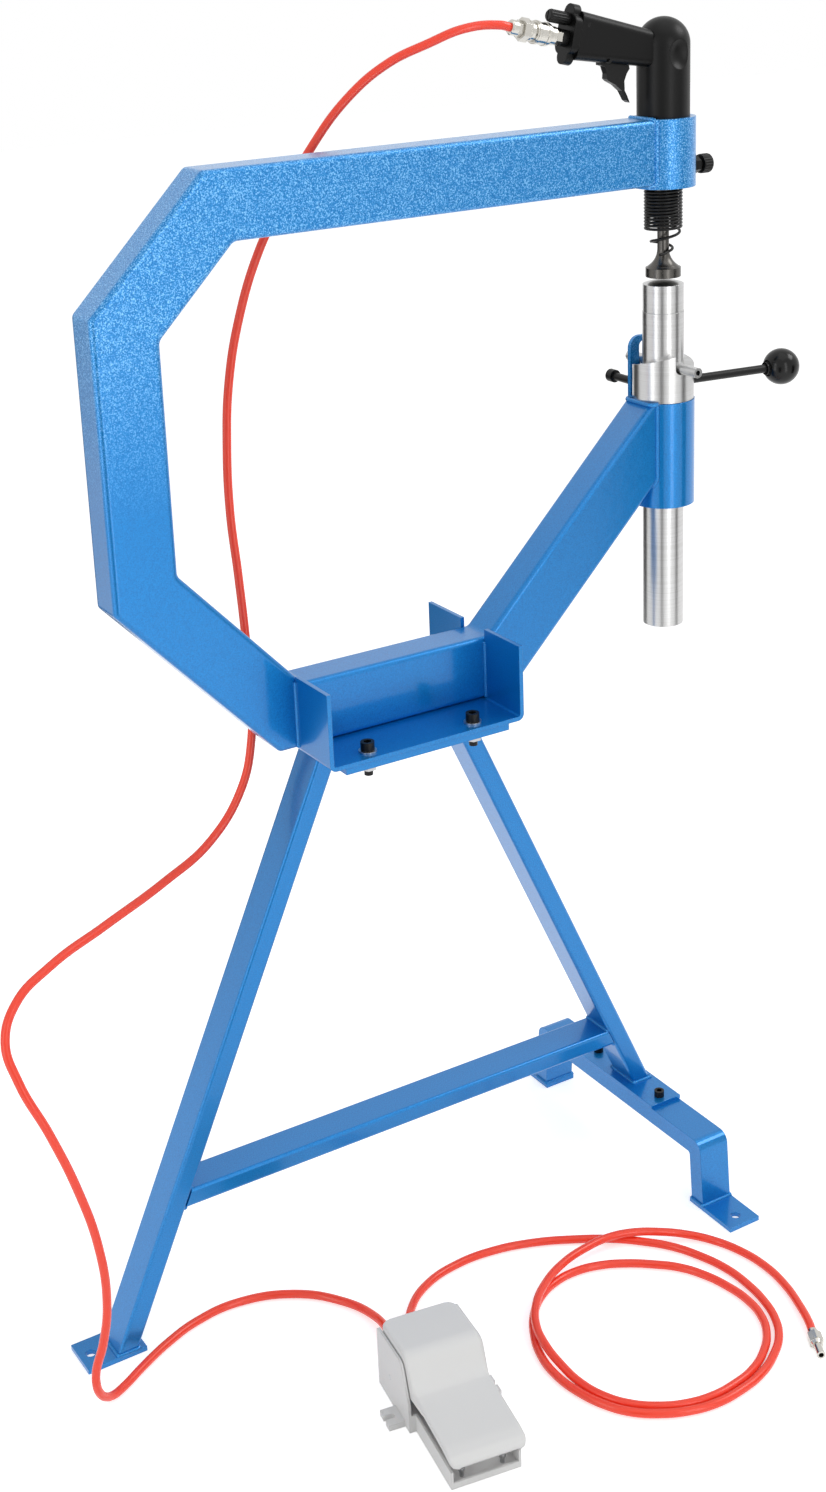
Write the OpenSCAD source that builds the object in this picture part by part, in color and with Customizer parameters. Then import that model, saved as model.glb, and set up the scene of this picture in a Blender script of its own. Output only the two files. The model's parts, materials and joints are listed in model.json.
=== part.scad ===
/* [Frame tube] */
// Width of the frame tube from front to back
tube_w = 50; // [46:1:54]
// Depth of the frame tube in the plane of the frame
tube_h = 76; // [70:1:80]
// Wall of the frame tube
tube_wall = 3; // [2:0.5:4]
// Outer corner radius of the frame tube
tube_r = 6; // [5:1:8]

/* [C frame] */
// Distance of the work axis in front of the middle of the foot bar
work_x = 58; // [50:1:64]
// Height of the top of the upper arm
arm_top_z = 1350; // [1340:1:1370]
// Height of the underside of the bottom beam
beam_z = 700; // [690:1:710]
// Distance from the work axis to the outside of the column
column_reach = 743; // [720:1:760]
// Run and drop of the upper corner tube
top_corner = 136; // [120:1:150]
// Run of the lower corner tube
low_corner_run = 184; // [170:1:200]
// Rise of the lower corner tube
low_corner_rise = 200; // [185:1:215]
// Slope of the lower arm
arm_slope = 45; // [43:1:47]

/* [Hammer collar and anvil boss] */
// Outer diameter of the hammer collar
collar_d = 76; // [74:1:80]
// Height of the hammer collar
collar_h = 80; // [76:1:86]
// Outer diameter of the anvil boss
boss_d = 76; // [72:1:80]
// Height of the anvil boss
boss_h = 130; // [120:1:140]
// Height of the top of the anvil boss
boss_top_z = 1015; // [1012:1:1018]

/* [Air hammer] */
// Diameter of the hammer barrel
barrel_d = 62; // [60:1:64]
// Height of the middle of the domed cap above the collar
dome_rise = 82; // [78:1:90]
// Upward tilt of the handle
handle_tilt = 13; // [11:1:15]
// Distance from the work axis to the end of the handle
handle_reach = 128; // [124:1:134]
// Width of the handle
handle_w = 32; // [30:1:34]
// Height of the handle at its end
handle_end_h = 54; // [52:1:56]
// Diameter of the die shank
shank_d = 14; // [12:0.5:15]
// Diameter of the rim of the upper die
upper_die_d = 42; // [40:1:46]
// Thickness of the rim of the upper die
upper_rim_t = 11; // [9:1:13]
// Distance from the top of the upper arm down to the face of the upper die
upper_face_drop = 187; // [184:1:190]
// Wire diameter of the retaining spring
spring_wire = 3.4; // [3:0.1:3.4]
// Rise of one turn of the retaining spring
spring_pitch = 3.9; // [3.9:0.1:4.1]
// Outer diameter of the retaining spring
spring_d = 46; // [45:0.5:47]

/* [Anvil] */
// Diameter of the anvil post
post_d = 50; // [48:1:52]
// Length of the anvil post
post_l = 394; // [384:1:404]
// Diameter of the lower die
lower_die_d = 49; // [46:1:52]
// Height of the lower die
lower_die_h = 37; // [36:1:40]
// Radius of the crown of the lower die
crown_r = 75; // [60:5:100]
// Outer diameter of the cam collar
cam_d = 74; // [72:1:75]
// Height of the cam collar at the low end of its ramps
cam_low_h = 34; // [31:1:35]
// Lift of the anvil over the turn of the lever
cam_lift = 16; // [14:1:16]
// Turn of the lever in degrees
cam_turn = 120; // [115:5:125]
// Diameter of the cross pin
cross_pin_d = 12.5; // [12:0.5:13]
// Length of the cross pin
cross_pin_l = 132; // [126:1:140]
// Diameter of the lever rod
lever_d = 10.5; // [9:0.5:11]
// Distance from the work axis to the middle of the ball knob
lever_reach = 168; // [160:1:190]
// Turn of the lever out of the line of the frame
lever_angle = -8; // [-10:1:-4]
// Diameter of the ball knob
ball_d = 45; // [40:1:46]

/* [Saddle and stand] */
// Middle of the stand along the frame
stand_x = -350; // [-352:1:-348]
// Length of the saddle plate
saddle_l = 257; // [254:1:260]
// Width of the saddle plate
saddle_w = 194; // [186:1:204]
// Thickness of the saddle plate
saddle_t = 5; // [4:0.5:6]
// Height of the saddle flanges above the underside of the beam
flange_h = 86; // [80:1:92]
// Length of the stand top plate
top_plate_l = 216; // [210:1:224]
// Thickness of the stand top plate
top_plate_t = 8; // [6:0.5:10]
// Width of the leg tube from front to back
leg_w = 48; // [44:1:52]
// Depth of the leg tube
leg_t = 24; // [22:1:28]
// Distance from the middle of the stand to the outside of a leg at its top
leg_top_run = 101; // [98:1:104]
// Distance from the middle of the stand to the outside of a leg at the floor
leg_floor_run = 412; // [409:1:415]
// Height of the top of the crossbar
crossbar_z = 189; // [180:1:200]
// Depth of the crossbar
crossbar_t = 22; // [20:1:26]
// Width of the foot bar tube
foot_bar_w = 44; // [42:1:50]
// Depth of the foot bar tube
foot_bar_t = 22; // [20:1:24]
// Height of the top of the foot bar
foot_bar_z = 93; // [88:1:98]
// Distance from the middle of the foot bar to its upper outer corner
foot_bar_half = 176; // [168:1:180]
// Thickness of the foot plates
foot_plate_t = 6; // [5:0.5:8]
// Diameter of the floor anchor holes
anchor_d = 12; // [10:0.5:14]
// Distance from the upper outer corner of the foot bar out to its anchor hole
anchor_out = 44; // [40:1:48]

/* [Foot pedal] */
// Width of the pedal cover
cover_w = 90; // [86:1:94]
// Wall of the pedal cover
cover_t = 2.6; // [2:0.2:3]
// Length of the pedal base
pedal_l = 186; // [184:1:188]
// Height of the side walls of the pedal base
tray_h = 22; // [20:1:24]
// Turn of the pedal about the vertical
pedal_yaw = -9; // [-12:1:-6]

/* [Hose] */
// Outer diameter of the hose
hose_d = 10; // [9:0.5:10]

/* [Hidden] */
$fn = 48;
fit = 0.05;
seat = 0.3;
weld = 0.2;
tube_end = 12;
cut_over = 1;

// Plane paths: points are [along, up]
function unit(v) = v / norm(v);
function left(v) = [-v[1], v[0]];
function way(p, i) = unit(p[i + 1] - p[i]);
function mitre(a, b, h) = h * (a + b) / (1 + a * b);
function shift_path(p, h) = [for (i = [0:len(p) - 1])
    let (a = left(way(p, max(i - 1, 0))), b = left(way(p, min(i, len(p) - 2))))
    p[i] + mitre(a, b, h)];
function flipped(p) = [for (i = [len(p) - 1:-1:0]) p[i]];
function fillet(a, b, c, r, steps = 6) =
    let (u = unit(a - b), v = unit(c - b), half = acos(u * v) / 2, mid = b + unit(u + v) * r / sin(half),
        from = b + u * r / tan(half), sweep = 180 - 2 * half, turn = sign(u[0] * v[1] - u[1] * v[0]),
        start = atan2(from[1] - mid[1], from[0] - mid[0]))
    [for (k = [0:steps]) mid + r * [cos(start - turn * sweep * k / steps), sin(start - turn * sweep * k / steps)]];
function rounded(p, r) = [for (i = [0:len(p) - 1])
    each (i == 0 || i == len(p) - 1 || r[i] == 0) ? [p[i]] : fillet(p[i - 1], p[i], p[i + 1], r[i])];
function strip(p, h, r_out, r_in) = concat(rounded(p, r_out), flipped(rounded(shift_path(p, h), r_in)));

module rounded_rect(w, h, r) {
    square([w - 2 * r, h], center = true);
    square([w, h - 2 * r], center = true);
    for (x = [-1, 1], y = [-1, 1])
        translate([x * (w / 2 - r), y * (h / 2 - r)]) circle(r);
}

module box_tube(w, h, r, wall, length) {
    linear_extrude(length) difference() {
        rounded_rect(w, h, r);
        rounded_rect(w - 2 * wall, h - 2 * wall, max(r - wall, 1));
    }
}

// Turns a plane drawing of [x, z] points into a slab across y
module slab_xz(w) {
    rotate([90, 0, 0]) linear_extrude(w, center = true) children();
}

// Turns a plane drawing of [y, z] points into a slab across x
module slab_yz(w) {
    rotate([90, 0, 90]) linear_extrude(w, center = true) children();
}

// Socket head cap screw with its seat at the origin and its shank pointing down
module cap_screw(d, length) {
    head_r = 0.8 * d;
    difference() {
        union() {
            cylinder(r = head_r, h = d);
            translate([0, 0, -length]) cylinder(r = d / 2, h = length + fit);
        }
        translate([0, 0, d / 2]) cylinder(r = 0.48 * d, h = d, $fn = 6);
    }
}

module hex_nut(flats, h, hole_r) {
    difference() {
        cylinder(r = flats / 2 / cos(30), h = h, $fn = 6);
        translate([0, 0, -cut_over]) cylinder(r = hole_r, h = h + 2 * cut_over);
    }
}

// The C frame: the outer line runs from the hammer round to the anvil
column_x = work_x - column_reach;
beam_left = column_x + low_corner_run;
arm_turn = tan(arm_slope / 2);
saddle_right = stand_x + saddle_l / 2;
arm_root_x = work_x - boss_d / 2 - (boss_top_z - beam_z - tube_h) / tan(arm_slope);
beam_right = arm_root_x + tube_h * arm_turn;
arm_end_z = beam_z + (work_x - beam_right) * tan(arm_slope);
frame_line = [[work_x, arm_top_z], [column_x + top_corner, arm_top_z], [column_x, arm_top_z - top_corner],
    [column_x, beam_z + low_corner_rise], [beam_left, beam_z], [beam_right, beam_z],
    [work_x + tube_h, arm_end_z + tube_h * tan(arm_slope)]];
frame_inner = shift_path(frame_line, tube_h);

module frame_tube(i) {
    a = frame_line[i];
    b = frame_line[i + 1];
    d = b - a;
    reach = 0.3;
    corners = [a + reach * (a - frame_inner[i]), b + reach * (b - frame_inner[i + 1]),
        frame_inner[i + 1] + reach * (frame_inner[i + 1] - b), frame_inner[i] + reach * (frame_inner[i] - a)];
    color("dodgerblue") intersection() {
        translate([a[0], 0, a[1]]) rotate([0, -atan2(d[1], d[0]), 0])
            translate([-tube_h, 0, tube_h / 2]) rotate([90, 0, 90])
                box_tube(tube_w, tube_h, tube_r, tube_wall, norm(d) + 2 * tube_h);
        slab_xz(tube_w + 2) polygon(corners);
    }
}

module upper_arm_tube() {
    difference() {
        frame_tube(0);
        translate([work_x, 0, arm_top_z - tube_h - tube_end])
            cylinder(d = collar_d + 2 * weld, h = tube_h + 2 * tube_end);
    }
}

module lower_arm_tube() {
    difference() {
        frame_tube(5);
        translate([work_x, 0, boss_top_z - boss_h - 2 * tube_h])
            cylinder(d = boss_d + 2 * weld, h = boss_h + 4 * tube_h);
        translate([work_x - boss_d, -tube_w, boss_top_z]) cube([2 * boss_d, 2 * tube_w, 2 * tube_h]);
        translate([work_x, -tube_w, beam_z]) cube([2 * boss_d, 2 * tube_w, arm_top_z - beam_z]);
    }
}

// Collar that holds the barrel, with the clamp screw's thread on the far side from the column
collar_z = arm_top_z - collar_h;
clamp_z = arm_top_z - 60;
clamp_d = 12;
clamp_nut_h = 12;
clamp_head_h = 14;
module hammer_collar() {
    color("dodgerblue") difference() {
        translate([work_x, 0, collar_z]) cylinder(d = collar_d, h = collar_h);
        translate([work_x, 0, collar_z - cut_over]) cylinder(d = barrel_d + 2 * fit, h = collar_h + 2 * cut_over);
        translate([work_x, 0, clamp_z]) rotate([0, 90, 0]) cylinder(r = clamp_d / 2 + fit, h = collar_d);
    }
}

module clamp_screw_nut() {
    color("dimgray") translate([work_x + collar_d / 2 + seat, 0, clamp_z]) rotate([0, 90, 0])
        hex_nut(18, clamp_nut_h, clamp_d / 2 + fit);
}

module hammer_clamp_screw() {
    from = barrel_d / 2 + seat;
    head_from = collar_d / 2 + seat + clamp_nut_h + 4;
    color("dimgray") translate([work_x, 0, clamp_z]) rotate([0, 90, 0]) difference() {
        union() {
            translate([0, 0, from]) cylinder(d = clamp_d, h = head_from - from + 1);
            translate([0, 0, head_from]) cylinder(r = 11, h = clamp_head_h - 1.4);
            translate([0, 0, head_from + clamp_head_h - 1.4]) cylinder(r1 = 11, r2 = 9.6, h = 1.4);
            for (k = [0:23])
                rotate([0, 0, 15 * k]) translate([10.7, 0, head_from + 1]) cylinder(r = 0.8, h = clamp_head_h - 3, $fn = 6);
        }
        translate([0, 0, head_from + clamp_head_h - 7]) cylinder(r = 5.2, h = clamp_head_h, $fn = 6);
    }
}

module anvil_boss() {
    color("dodgerblue") difference() {
        translate([work_x, 0, boss_top_z - boss_h]) cylinder(d = boss_d, h = boss_h);
        translate([work_x, 0, boss_top_z - boss_h - cut_over])
            cylinder(r = post_d / 2 + fit, h = boss_h + 2 * cut_over);
    }
}

// Cam, post and dies
cam_z = boss_top_z + seat;
ramp_z = cam_z + cam_low_h;
pin_gap = 0.6;
pin_z = ramp_z + cross_pin_d / 2 + pin_gap;
lever_z = cam_z + cam_low_h / 2;
upper_face_z = arm_top_z - upper_face_drop;
lower_face_z = upper_face_z - 4.5;
post_top_z = lower_face_z - lower_die_h;
socket_d = 19;
socket_l = 28;

// Helical cutter: everything above a ramp that climbs through half a turn from the front
ramp_steps = 24;
ramp_in = post_d / 2 - 3;
ramp_out = cam_d / 2 + 3;
ramp_top = 40;
function ramp_rise(a) = cam_lift / cam_turn * a;
function ramp_ring(a) = let (c = cos(a - 90), s = sin(a - 90)) [
    [ramp_in * c, ramp_in * s, ramp_rise(a)], [ramp_in * c, ramp_in * s, ramp_top],
    [ramp_out * c, ramp_out * s, ramp_top], [ramp_out * c, ramp_out * s, ramp_rise(a)]];
module ramp_cutter() {
    points = [for (k = [0:ramp_steps]) each ramp_ring(180 * k / ramp_steps)];
    sides = [for (k = [0:ramp_steps - 1], m = [0:3])
        let (a = 4 * k + m, b = 4 * k + (m + 1) % 4) each [[a, a + 4, b + 4], [a, b + 4, b]]];
    last = 4 * ramp_steps;
    polyhedron(points, concat(sides, [[0, 1, 2], [0, 2, 3], [last + 2, last + 1, last],
        [last + 3, last + 2, last]]));
}

notch = 9;
notch_r = cross_pin_d / 2 + pin_gap;
module cam_collar() {
    color("silver") translate([work_x, 0, cam_z]) difference() {
        cylinder(d = cam_d, h = cam_low_h + ramp_rise(168));
        translate([0, 0, -cut_over]) cylinder(r = post_d / 2 + fit, h = cam_low_h + ramp_top);
        for (turn = [0, 180]) rotate([0, 0, turn]) {
            translate([0, 0, cam_low_h]) ramp_cutter();
            rotate([90, 0, 0]) linear_extrude(cam_d) {
                translate([notch_r - notch, cam_low_h + notch_r]) circle(notch_r);
                translate([notch_r - notch, cam_low_h]) square([notch - notch_r + 0.01, ramp_top]);
                translate([-notch, cam_low_h + notch_r]) square([notch + 0.01, ramp_top]);
            }
        }
        rotate([0, 0, lever_angle]) translate([post_d / 2, 0, lever_z - cam_z]) rotate([0, 90, 0])
            cylinder(d = lever_d + 2 * fit, h = cam_d);
    }
}

module cam_lever() {
    from = post_d / 2 + 1;
    color("dimgray") translate([work_x, 0, lever_z]) rotate([0, 90, lever_angle])
        translate([0, 0, from]) cylinder(d = lever_d, h = lever_reach - from);
}

module ball_knob() {
    flat = ball_d / 2 - 2.5;
    color("black") translate([work_x, 0, lever_z]) rotate([0, 0, lever_angle]) translate([lever_reach, 0, 0])
        rotate([0, -90, 0]) difference() {
        union() {
            intersection() {
                sphere(d = ball_d);
                translate([-ball_d, -ball_d, -ball_d]) cube([2 * ball_d, 2 * ball_d, ball_d + flat]);
            }
            cylinder(r = 8, h = ball_d / 2 + 1);
        }
        cylinder(d = lever_d + 2 * fit, h = ball_d);
    }
}

module anvil_post() {
    color("gainsboro") translate([work_x, 0, post_top_z]) difference() {
        translate([0, 0, -post_l]) cylinder(d = post_d, h = post_l);
        translate([0, 0, -socket_l]) cylinder(r = socket_d / 2 + fit, h = socket_l + cut_over);
        translate([0, 0, pin_z - post_top_z]) rotate([90, 0, 0])
            cylinder(d = cross_pin_d + 2 * fit, h = 2 * post_d, center = true);
    }
}

module cross_pin() {
    color("silver") translate([work_x, 0, pin_z]) rotate([90, 0, 0]) difference() {
        cylinder(d = cross_pin_d, h = cross_pin_l, center = true);
        cylinder(d = cross_pin_d / 2, h = cross_pin_l + 2 * cut_over, center = true);
    }
}

module lower_die() {
    crown_z = lower_die_h - crown_r;
    color("silver") translate([work_x, 0, post_top_z + seat / 2]) rotate_extrude() difference() {
        union() {
            intersection() {
                square([lower_die_d / 2, lower_die_h]);
                translate([0, crown_z]) circle(crown_r, $fn = 96);
            }
            translate([0, 1.5 - socket_l]) square([socket_d / 2, socket_l]);
        }
        translate([-crown_r, -crown_r]) square([crown_r, 3 * crown_r]);
    }
}

// Upright slotted plate welded behind the boss, which keeps the cross pin from turning
guide_w = 41;
guide_t = 5;
guide_top_z = pin_z + cam_lift + cross_pin_d / 2 + 8;
guide_low_z = boss_top_z - 60;
lock_z = cam_z + 9;
lock_d = 10;
module pin_guide() {
    r = 15;
    slot_r = cross_pin_d / 2 + 0.5;
    color("royalblue") translate([work_x, boss_d / 2 + guide_t / 2, 0]) difference() {
        slab_xz(guide_t) difference() {
            union() {
                translate([-guide_w / 2, guide_low_z]) square([guide_w, guide_top_z - r - guide_low_z]);
                translate([r - guide_w / 2, guide_low_z]) square([guide_w - 2 * r, guide_top_z - guide_low_z]);
                for (x = [-1, 1]) translate([x * (guide_w / 2 - r), guide_top_z - r]) circle(r);
            }
            translate([0, pin_z - 0.6]) circle(slot_r);
            translate([-slot_r, pin_z - 0.6]) square([2 * slot_r, cam_lift + 1.2]);
            translate([0, pin_z + cam_lift + 0.6]) circle(slot_r);
        }
        translate([0, 0, lock_z]) rotate([90, 0, 0]) cylinder(d = lock_d + 2 * fit, h = 4 * guide_t, center = true);
    }
}

module cam_lock_screw() {
    length = 58;
    color("black") translate([work_x, cam_d / 2 + seat + length, lock_z]) rotate([-90, 0, 0])
        cap_screw(lock_d, length);
}

// Upper die: shank, hollow flare and rim
flare_h = 22;
flare_r = 24;
shank_top_z = collar_z + 2;
module upper_die() {
    r = shank_d / 2;
    rim = upper_die_d / 2;
    neck = 3.5;
    color("gray") translate([work_x, 0, upper_face_z]) rotate_extrude() difference() {
        union() {
            square([rim, upper_rim_t]);
            square([r, shank_top_z - upper_face_z]);
            translate([0, upper_rim_t]) polygon([[0, 0], [rim - 1, 0], [rim - neck, 2], [r, flare_h], [0, flare_h]]);
        }
        translate([r + flare_r, upper_rim_t + flare_h]) circle(flare_r, $fn = 96);
        translate([rim - 1, 0]) polygon([[0, -1], [2, -1], [2, 1.5]]);
    }
}

// Hammer
housing_low_z = collar_z + 2;
dome_z = arm_top_z + dome_rise;
sleeve_d = 48;
bore_d = 28;
dimple_r = 26;
end_x = work_x - handle_reach;
end_z = dome_z + 18;
root_x = work_x - 26;
root_low_z = dome_z - 24;
root_h = 42;
pivot_x = work_x - 88;
pivot_z = dome_z - 13;
stem_x = pivot_x + 24;
stem_bore_top = pivot_z + 32;

// Local frame at the end of the handle: z points out along it and x points up
module at_handle_end(up = 0) {
    translate([end_x, 0, end_z]) rotate([0, handle_tilt - 90, 0]) translate([up, 0, 0]) children();
}

module handle_section(h, w, r) {
    linear_extrude(0.02) rounded_rect(h, w, r, $fn = 32);
}

module hammer_housing() {
    color("black") difference() {
        union() {
            translate([work_x, 0, housing_low_z]) cylinder(d = barrel_d, h = dome_z - housing_low_z);
            translate([work_x, 0, dome_z]) sphere(d = barrel_d);
            hull() {
                at_handle_end() translate([0, 0, -0.02]) handle_section(handle_end_h, handle_w, 9);
                translate([root_x, 0, root_low_z + root_h / 2]) rotate([0, -90, 0])
                    handle_section(root_h, handle_w, 9);
            }
        }
        translate([work_x, 0, housing_low_z - cut_over])
            cylinder(d = sleeve_d + 2 * fit, h = dome_z - 34 - housing_low_z + cut_over);
        for (side = [-1, 1])
            translate([work_x, side * (barrel_d / 2 + 19.5), dome_z - 10]) sphere(r = dimple_r);
        translate([pivot_x - 9, -5.5, pivot_z - 30]) cube([50, 11, 42]);
        translate([pivot_x, 0, pivot_z]) rotate([90, 0, 0]) cylinder(r = 2 + fit, h = 60, center = true);
        translate([stem_x, 0, pivot_z]) cylinder(r = 4.1, h = stem_bore_top - pivot_z);
        at_handle_end(14) translate([0, 0, -9]) rotate([90, 0, 0]) cylinder(r = 2 + fit, h = 60, center = true);
        at_handle_end() translate([0, 0, -20]) cylinder(r = 9 + fit, h = 30);
    }
}

plate_t = 10;
knob_l = 26;
inlet_up = -5;
knob_up = 16;
module handle_end_plate() {
    lobe = handle_end_h / 2 - 3;
    color("black") difference() {
        union() {
            at_handle_end() linear_extrude(plate_t) {
                rounded_rect(handle_end_h - 10, handle_w + 1, 10);
                for (x = [-lobe, lobe]) translate([x, 0]) circle(9.5);
            }
            at_handle_end() translate([0, 0, -18]) cylinder(r = 9 - fit, h = 18);
        }
        at_handle_end(inlet_up) translate([0, 0, plate_t - 7]) cylinder(r = 8 + fit, h = plate_t);
        at_handle_end(knob_up) translate([0, 0, plate_t - 6]) cylinder(r = 4 + fit, h = plate_t);
        at_handle_end(14) translate([0, 0, -9]) rotate([90, 0, 0]) cylinder(r = 2 + fit, h = 60, center = true);
    }
}

module inlet_bush() {
    color("black") at_handle_end(inlet_up) difference() {
        union() {
            translate([0, 0, plate_t - 7]) cylinder(r = 8, h = 7 + 2);
            translate([0, 0, plate_t + seat]) cylinder(r = 9.5, h = 8);
        }
        translate([0, 0, plate_t - 8]) cylinder(r = 6 + fit, h = 20);
    }
}

module regulator_knob() {
    from = plate_t + seat;
    color("black") at_handle_end(knob_up) {
        translate([0, 0, plate_t - 5]) cylinder(r = 4, h = 6);
        difference() {
            union() {
                translate([0, 0, from]) cylinder(r = 6.8, h = knob_l);
                translate([0, 0, from + knob_l]) cylinder(r1 = 6.8, r2 = 5.4, h = 1.5);
                for (k = [0:15]) rotate([0, 0, 22.5 * k])
                    translate([6.7, 0, from + 2]) cylinder(r = 0.7, h = knob_l - 3, $fn = 6);
            }
            translate([-8, -0.8, from + knob_l]) cube([16, 1.6, 4]);
        }
    }
}

// Side view of the trigger about its pin
trigger_line = [[-5, -4], [1, -6], [4, -14], [3.5, -20], [7, -23], [16, -27.5], [25, -35], [31.5, -46],
    [36, -49], [32.5, -41], [29, -35], [28.5, -24], [32, -16], [36, -11], [35, -6], [6, 5], [-5, 5]];
module trigger() {
    color("black") translate([pivot_x, 0, pivot_z]) difference() {
        slab_xz(9) polygon(trigger_line);
        rotate([90, 0, 0]) cylinder(r = 2 + fit, h = 30, center = true);
    }
}

module trigger_pin() {
    color("dimgray") translate([pivot_x, 0, pivot_z]) rotate([90, 0, 0])
        cylinder(r = 2, h = handle_w, center = true);
}

module handle_roll_pin() {
    color("dimgray") at_handle_end(14) translate([0, 0, -9]) rotate([90, 0, 0])
        cylinder(r = 2, h = handle_w, center = true);
}

stem_low_z = pivot_z - 0.5;
module throttle_valve() {
    color("silver") translate([stem_x, 0, stem_low_z]) {
        cylinder(r = 2.5, h = 19);
        translate([0, 0, 14]) cylinder(r = 4, h = 5);
    }
}

module throttle_spring() {
    low = stem_low_z + 19 + seat;
    high = stem_bore_top - seat;
    color("silver") translate([stem_x, 0, low]) coil(3, 0.7, (high - low - 1.4) / 5, 5);
}

module hammer_cylinder() {
    low = collar_z - 34;
    top = dome_z - 34 - seat;
    nose_r = spring_r * cos(22.5) - spring_wire / 2 - seat;
    color("dimgray") translate([work_x, 0, 0]) difference() {
        union() {
            translate([0, 0, housing_low_z]) cylinder(d = sleeve_d, h = top - housing_low_z);
            translate([0, 0, low]) cylinder(r = nose_r, h = housing_low_z - low + 1);
        }
        translate([0, 0, housing_low_z + 4]) cylinder(d = bore_d, h = top);
        translate([0, 0, low - cut_over]) cylinder(d = shank_d + 2 * fit, h = top);
    }
}

piston_z = shank_top_z + cam_lift + 4;
module piston() {
    color("silver") translate([work_x, 0, piston_z]) {
        cylinder(d = bore_d - 2 * fit, h = 40);
        translate([0, 0, 40]) cylinder(d1 = bore_d - 2 * fit, d2 = bore_d - 5, h = 3);
    }
}

// Round wire along a path of points, one unbroken tube
function tangent(p, i) = unit(p[min(i + 1, len(p) - 1)] - p[max(i - 1, 0)]);
function square_to(n, t) = unit(n - (n * t) * t);
function normals(p) = let (t0 = tangent(p, 0))
    [for (i = 0, n = square_to(abs(t0[2]) > 0.7 ? [1, 0, 0] : [0, 0, 1], t0); i < len(p);
        i = i + 1, n = i < len(p) ? square_to(n, tangent(p, i)) : n) n];
module sweep_tube(p, r, sides) {
    n = normals(p);
    points = [for (i = [0:len(p) - 1]) let (t = tangent(p, i), b = cross(t, n[i]))
        for (k = [0:sides - 1]) p[i] + r * (cos(360 * k / sides) * n[i] + sin(360 * k / sides) * b)];
    last = sides * (len(p) - 1);
    walls = [for (i = [0:len(p) - 2], k = [0:sides - 1])
        let (a = sides * i + k, b = sides * i + (k + 1) % sides) each [[a, b + sides, b], [a, a + sides, b + sides]]];
    caps = [for (k = [1:sides - 2]) each [[0, k, k + 1], [last, last + k + 1, last + k]]];
    polyhedron(points, concat(walls, caps));
}
function coil_points(r, pitch, turns, rings = 8) = [for (k = [0:turns * rings])
    [r * cos(360 * k / rings), r * sin(360 * k / rings), pitch * k / rings]];
module coil(r, wire_r, pitch, turns) {
    translate([0, 0, wire_r]) sweep_tube(coil_points(r, pitch, turns), wire_r, 6);
}

// Retaining spring: close turns from the collar down, then a tail that closes round the shank
spring_r = (spring_d - spring_wire) / 2;
spring_top_z = collar_z - spring_wire / 2 - seat;
spring_turns = 12.5;
spring_start = 4520;
coil_end = spring_start - 360 * spring_turns;
tail_r = shank_d / 2 + spring_wire / 2 + 1.8;
tail_drop = 26;
tail_turn = 480;
function wire_point(r, a, z) = [r * cos(a), r * sin(a), z];
spring_line = concat(
    [for (k = [0:spring_turns * 8]) wire_point(spring_r, spring_start - 45 * k, -spring_pitch * k / 8)],
    [for (k = [1:16]) let (s = k / 16) wire_point(tail_r + (spring_r - tail_r) * pow(1 - s, 1.5),
        coil_end - tail_turn * s, -spring_turns * spring_pitch - spring_pitch * min(1, 2 * s) - (tail_drop - spring_pitch) * s)],
    [wire_point(tail_r + 9, coil_end - tail_turn - 40, -spring_turns * spring_pitch - tail_drop - 2)]);
function least_gap(p, wire, skip) = min([for (i = [0:len(p) - 1 - skip], j = [i + skip:len(p) - 1])
    norm(p[i] - p[j])]) - wire;
module retainer_spring() {
    color("black") translate([work_x, 0, spring_top_z]) sweep_tube(spring_line, spring_wire / 2, 6);
}
echo(spring_gap = least_gap(spring_line, spring_wire, 5));

// Quick coupler, in the local frame of the handle end
plug_from = plate_t + seat + 8 + seat;
module coupler_plug() {
    color("silver") at_handle_end(inlet_up) {
        translate([0, 0, plate_t - 6]) cylinder(r = 6, h = plug_from - plate_t + 7);
        translate([0, 0, plug_from]) cylinder(r = 9.8, h = 8, $fn = 6);
        translate([0, 0, plug_from + 8 - 1]) cylinder(r = 6, h = 22);
    }
}

body_from = plug_from + 8 + seat;
body_l = 52;
sleeve_from = body_from + 8;
sleeve_l = 20;
module coupler_body() {
    color("silver") at_handle_end(inlet_up) difference() {
        union() {
            translate([0, 0, body_from]) cylinder(r = 10.5, h = body_l - 9);
            translate([0, 0, body_from + body_l - 17]) cylinder(r = 13.2, h = 10, $fn = 6);
            translate([0, 0, body_from + body_l - 9]) cylinder(r = 8, h = 9);
            translate([0, 0, sleeve_from + sleeve_l + 6.5]) cylinder(r = 12, h = 2);
        }
        translate([0, 0, body_from - cut_over]) cylinder(r = 6 + fit, h = 23.5);
    }
}

module coupler_sleeve() {
    color("silver") at_handle_end(inlet_up) difference() {
        union() {
            translate([0, 0, sleeve_from]) cylinder(r = 12.4, h = sleeve_l);
            for (s = [2, sleeve_l - 5]) translate([0, 0, sleeve_from + s]) cylinder(r = 13.2, h = 3);
        }
        translate([0, 0, sleeve_from - cut_over]) cylinder(r = 10.5 + fit, h = sleeve_l + 2 * cut_over);
    }
}

nut_from = body_from + body_l + seat - 7;
nut_l = 14;
module hose_nut() {
    color("silver") at_handle_end(inlet_up) difference() {
        union() {
            translate([0, 0, nut_from]) cylinder(r = 9.6, h = 5, $fn = 6);
            translate([0, 0, nut_from + 5 - seat]) cylinder(r = 8.6, h = nut_l - 5 - 2 + seat);
            translate([0, 0, nut_from + nut_l - 2]) cylinder(r1 = 8.6, r2 = 7, h = 2);
        }
        translate([0, 0, nut_from - cut_over]) cylinder(r = 8 + fit, h = 8);
    }
}

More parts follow.
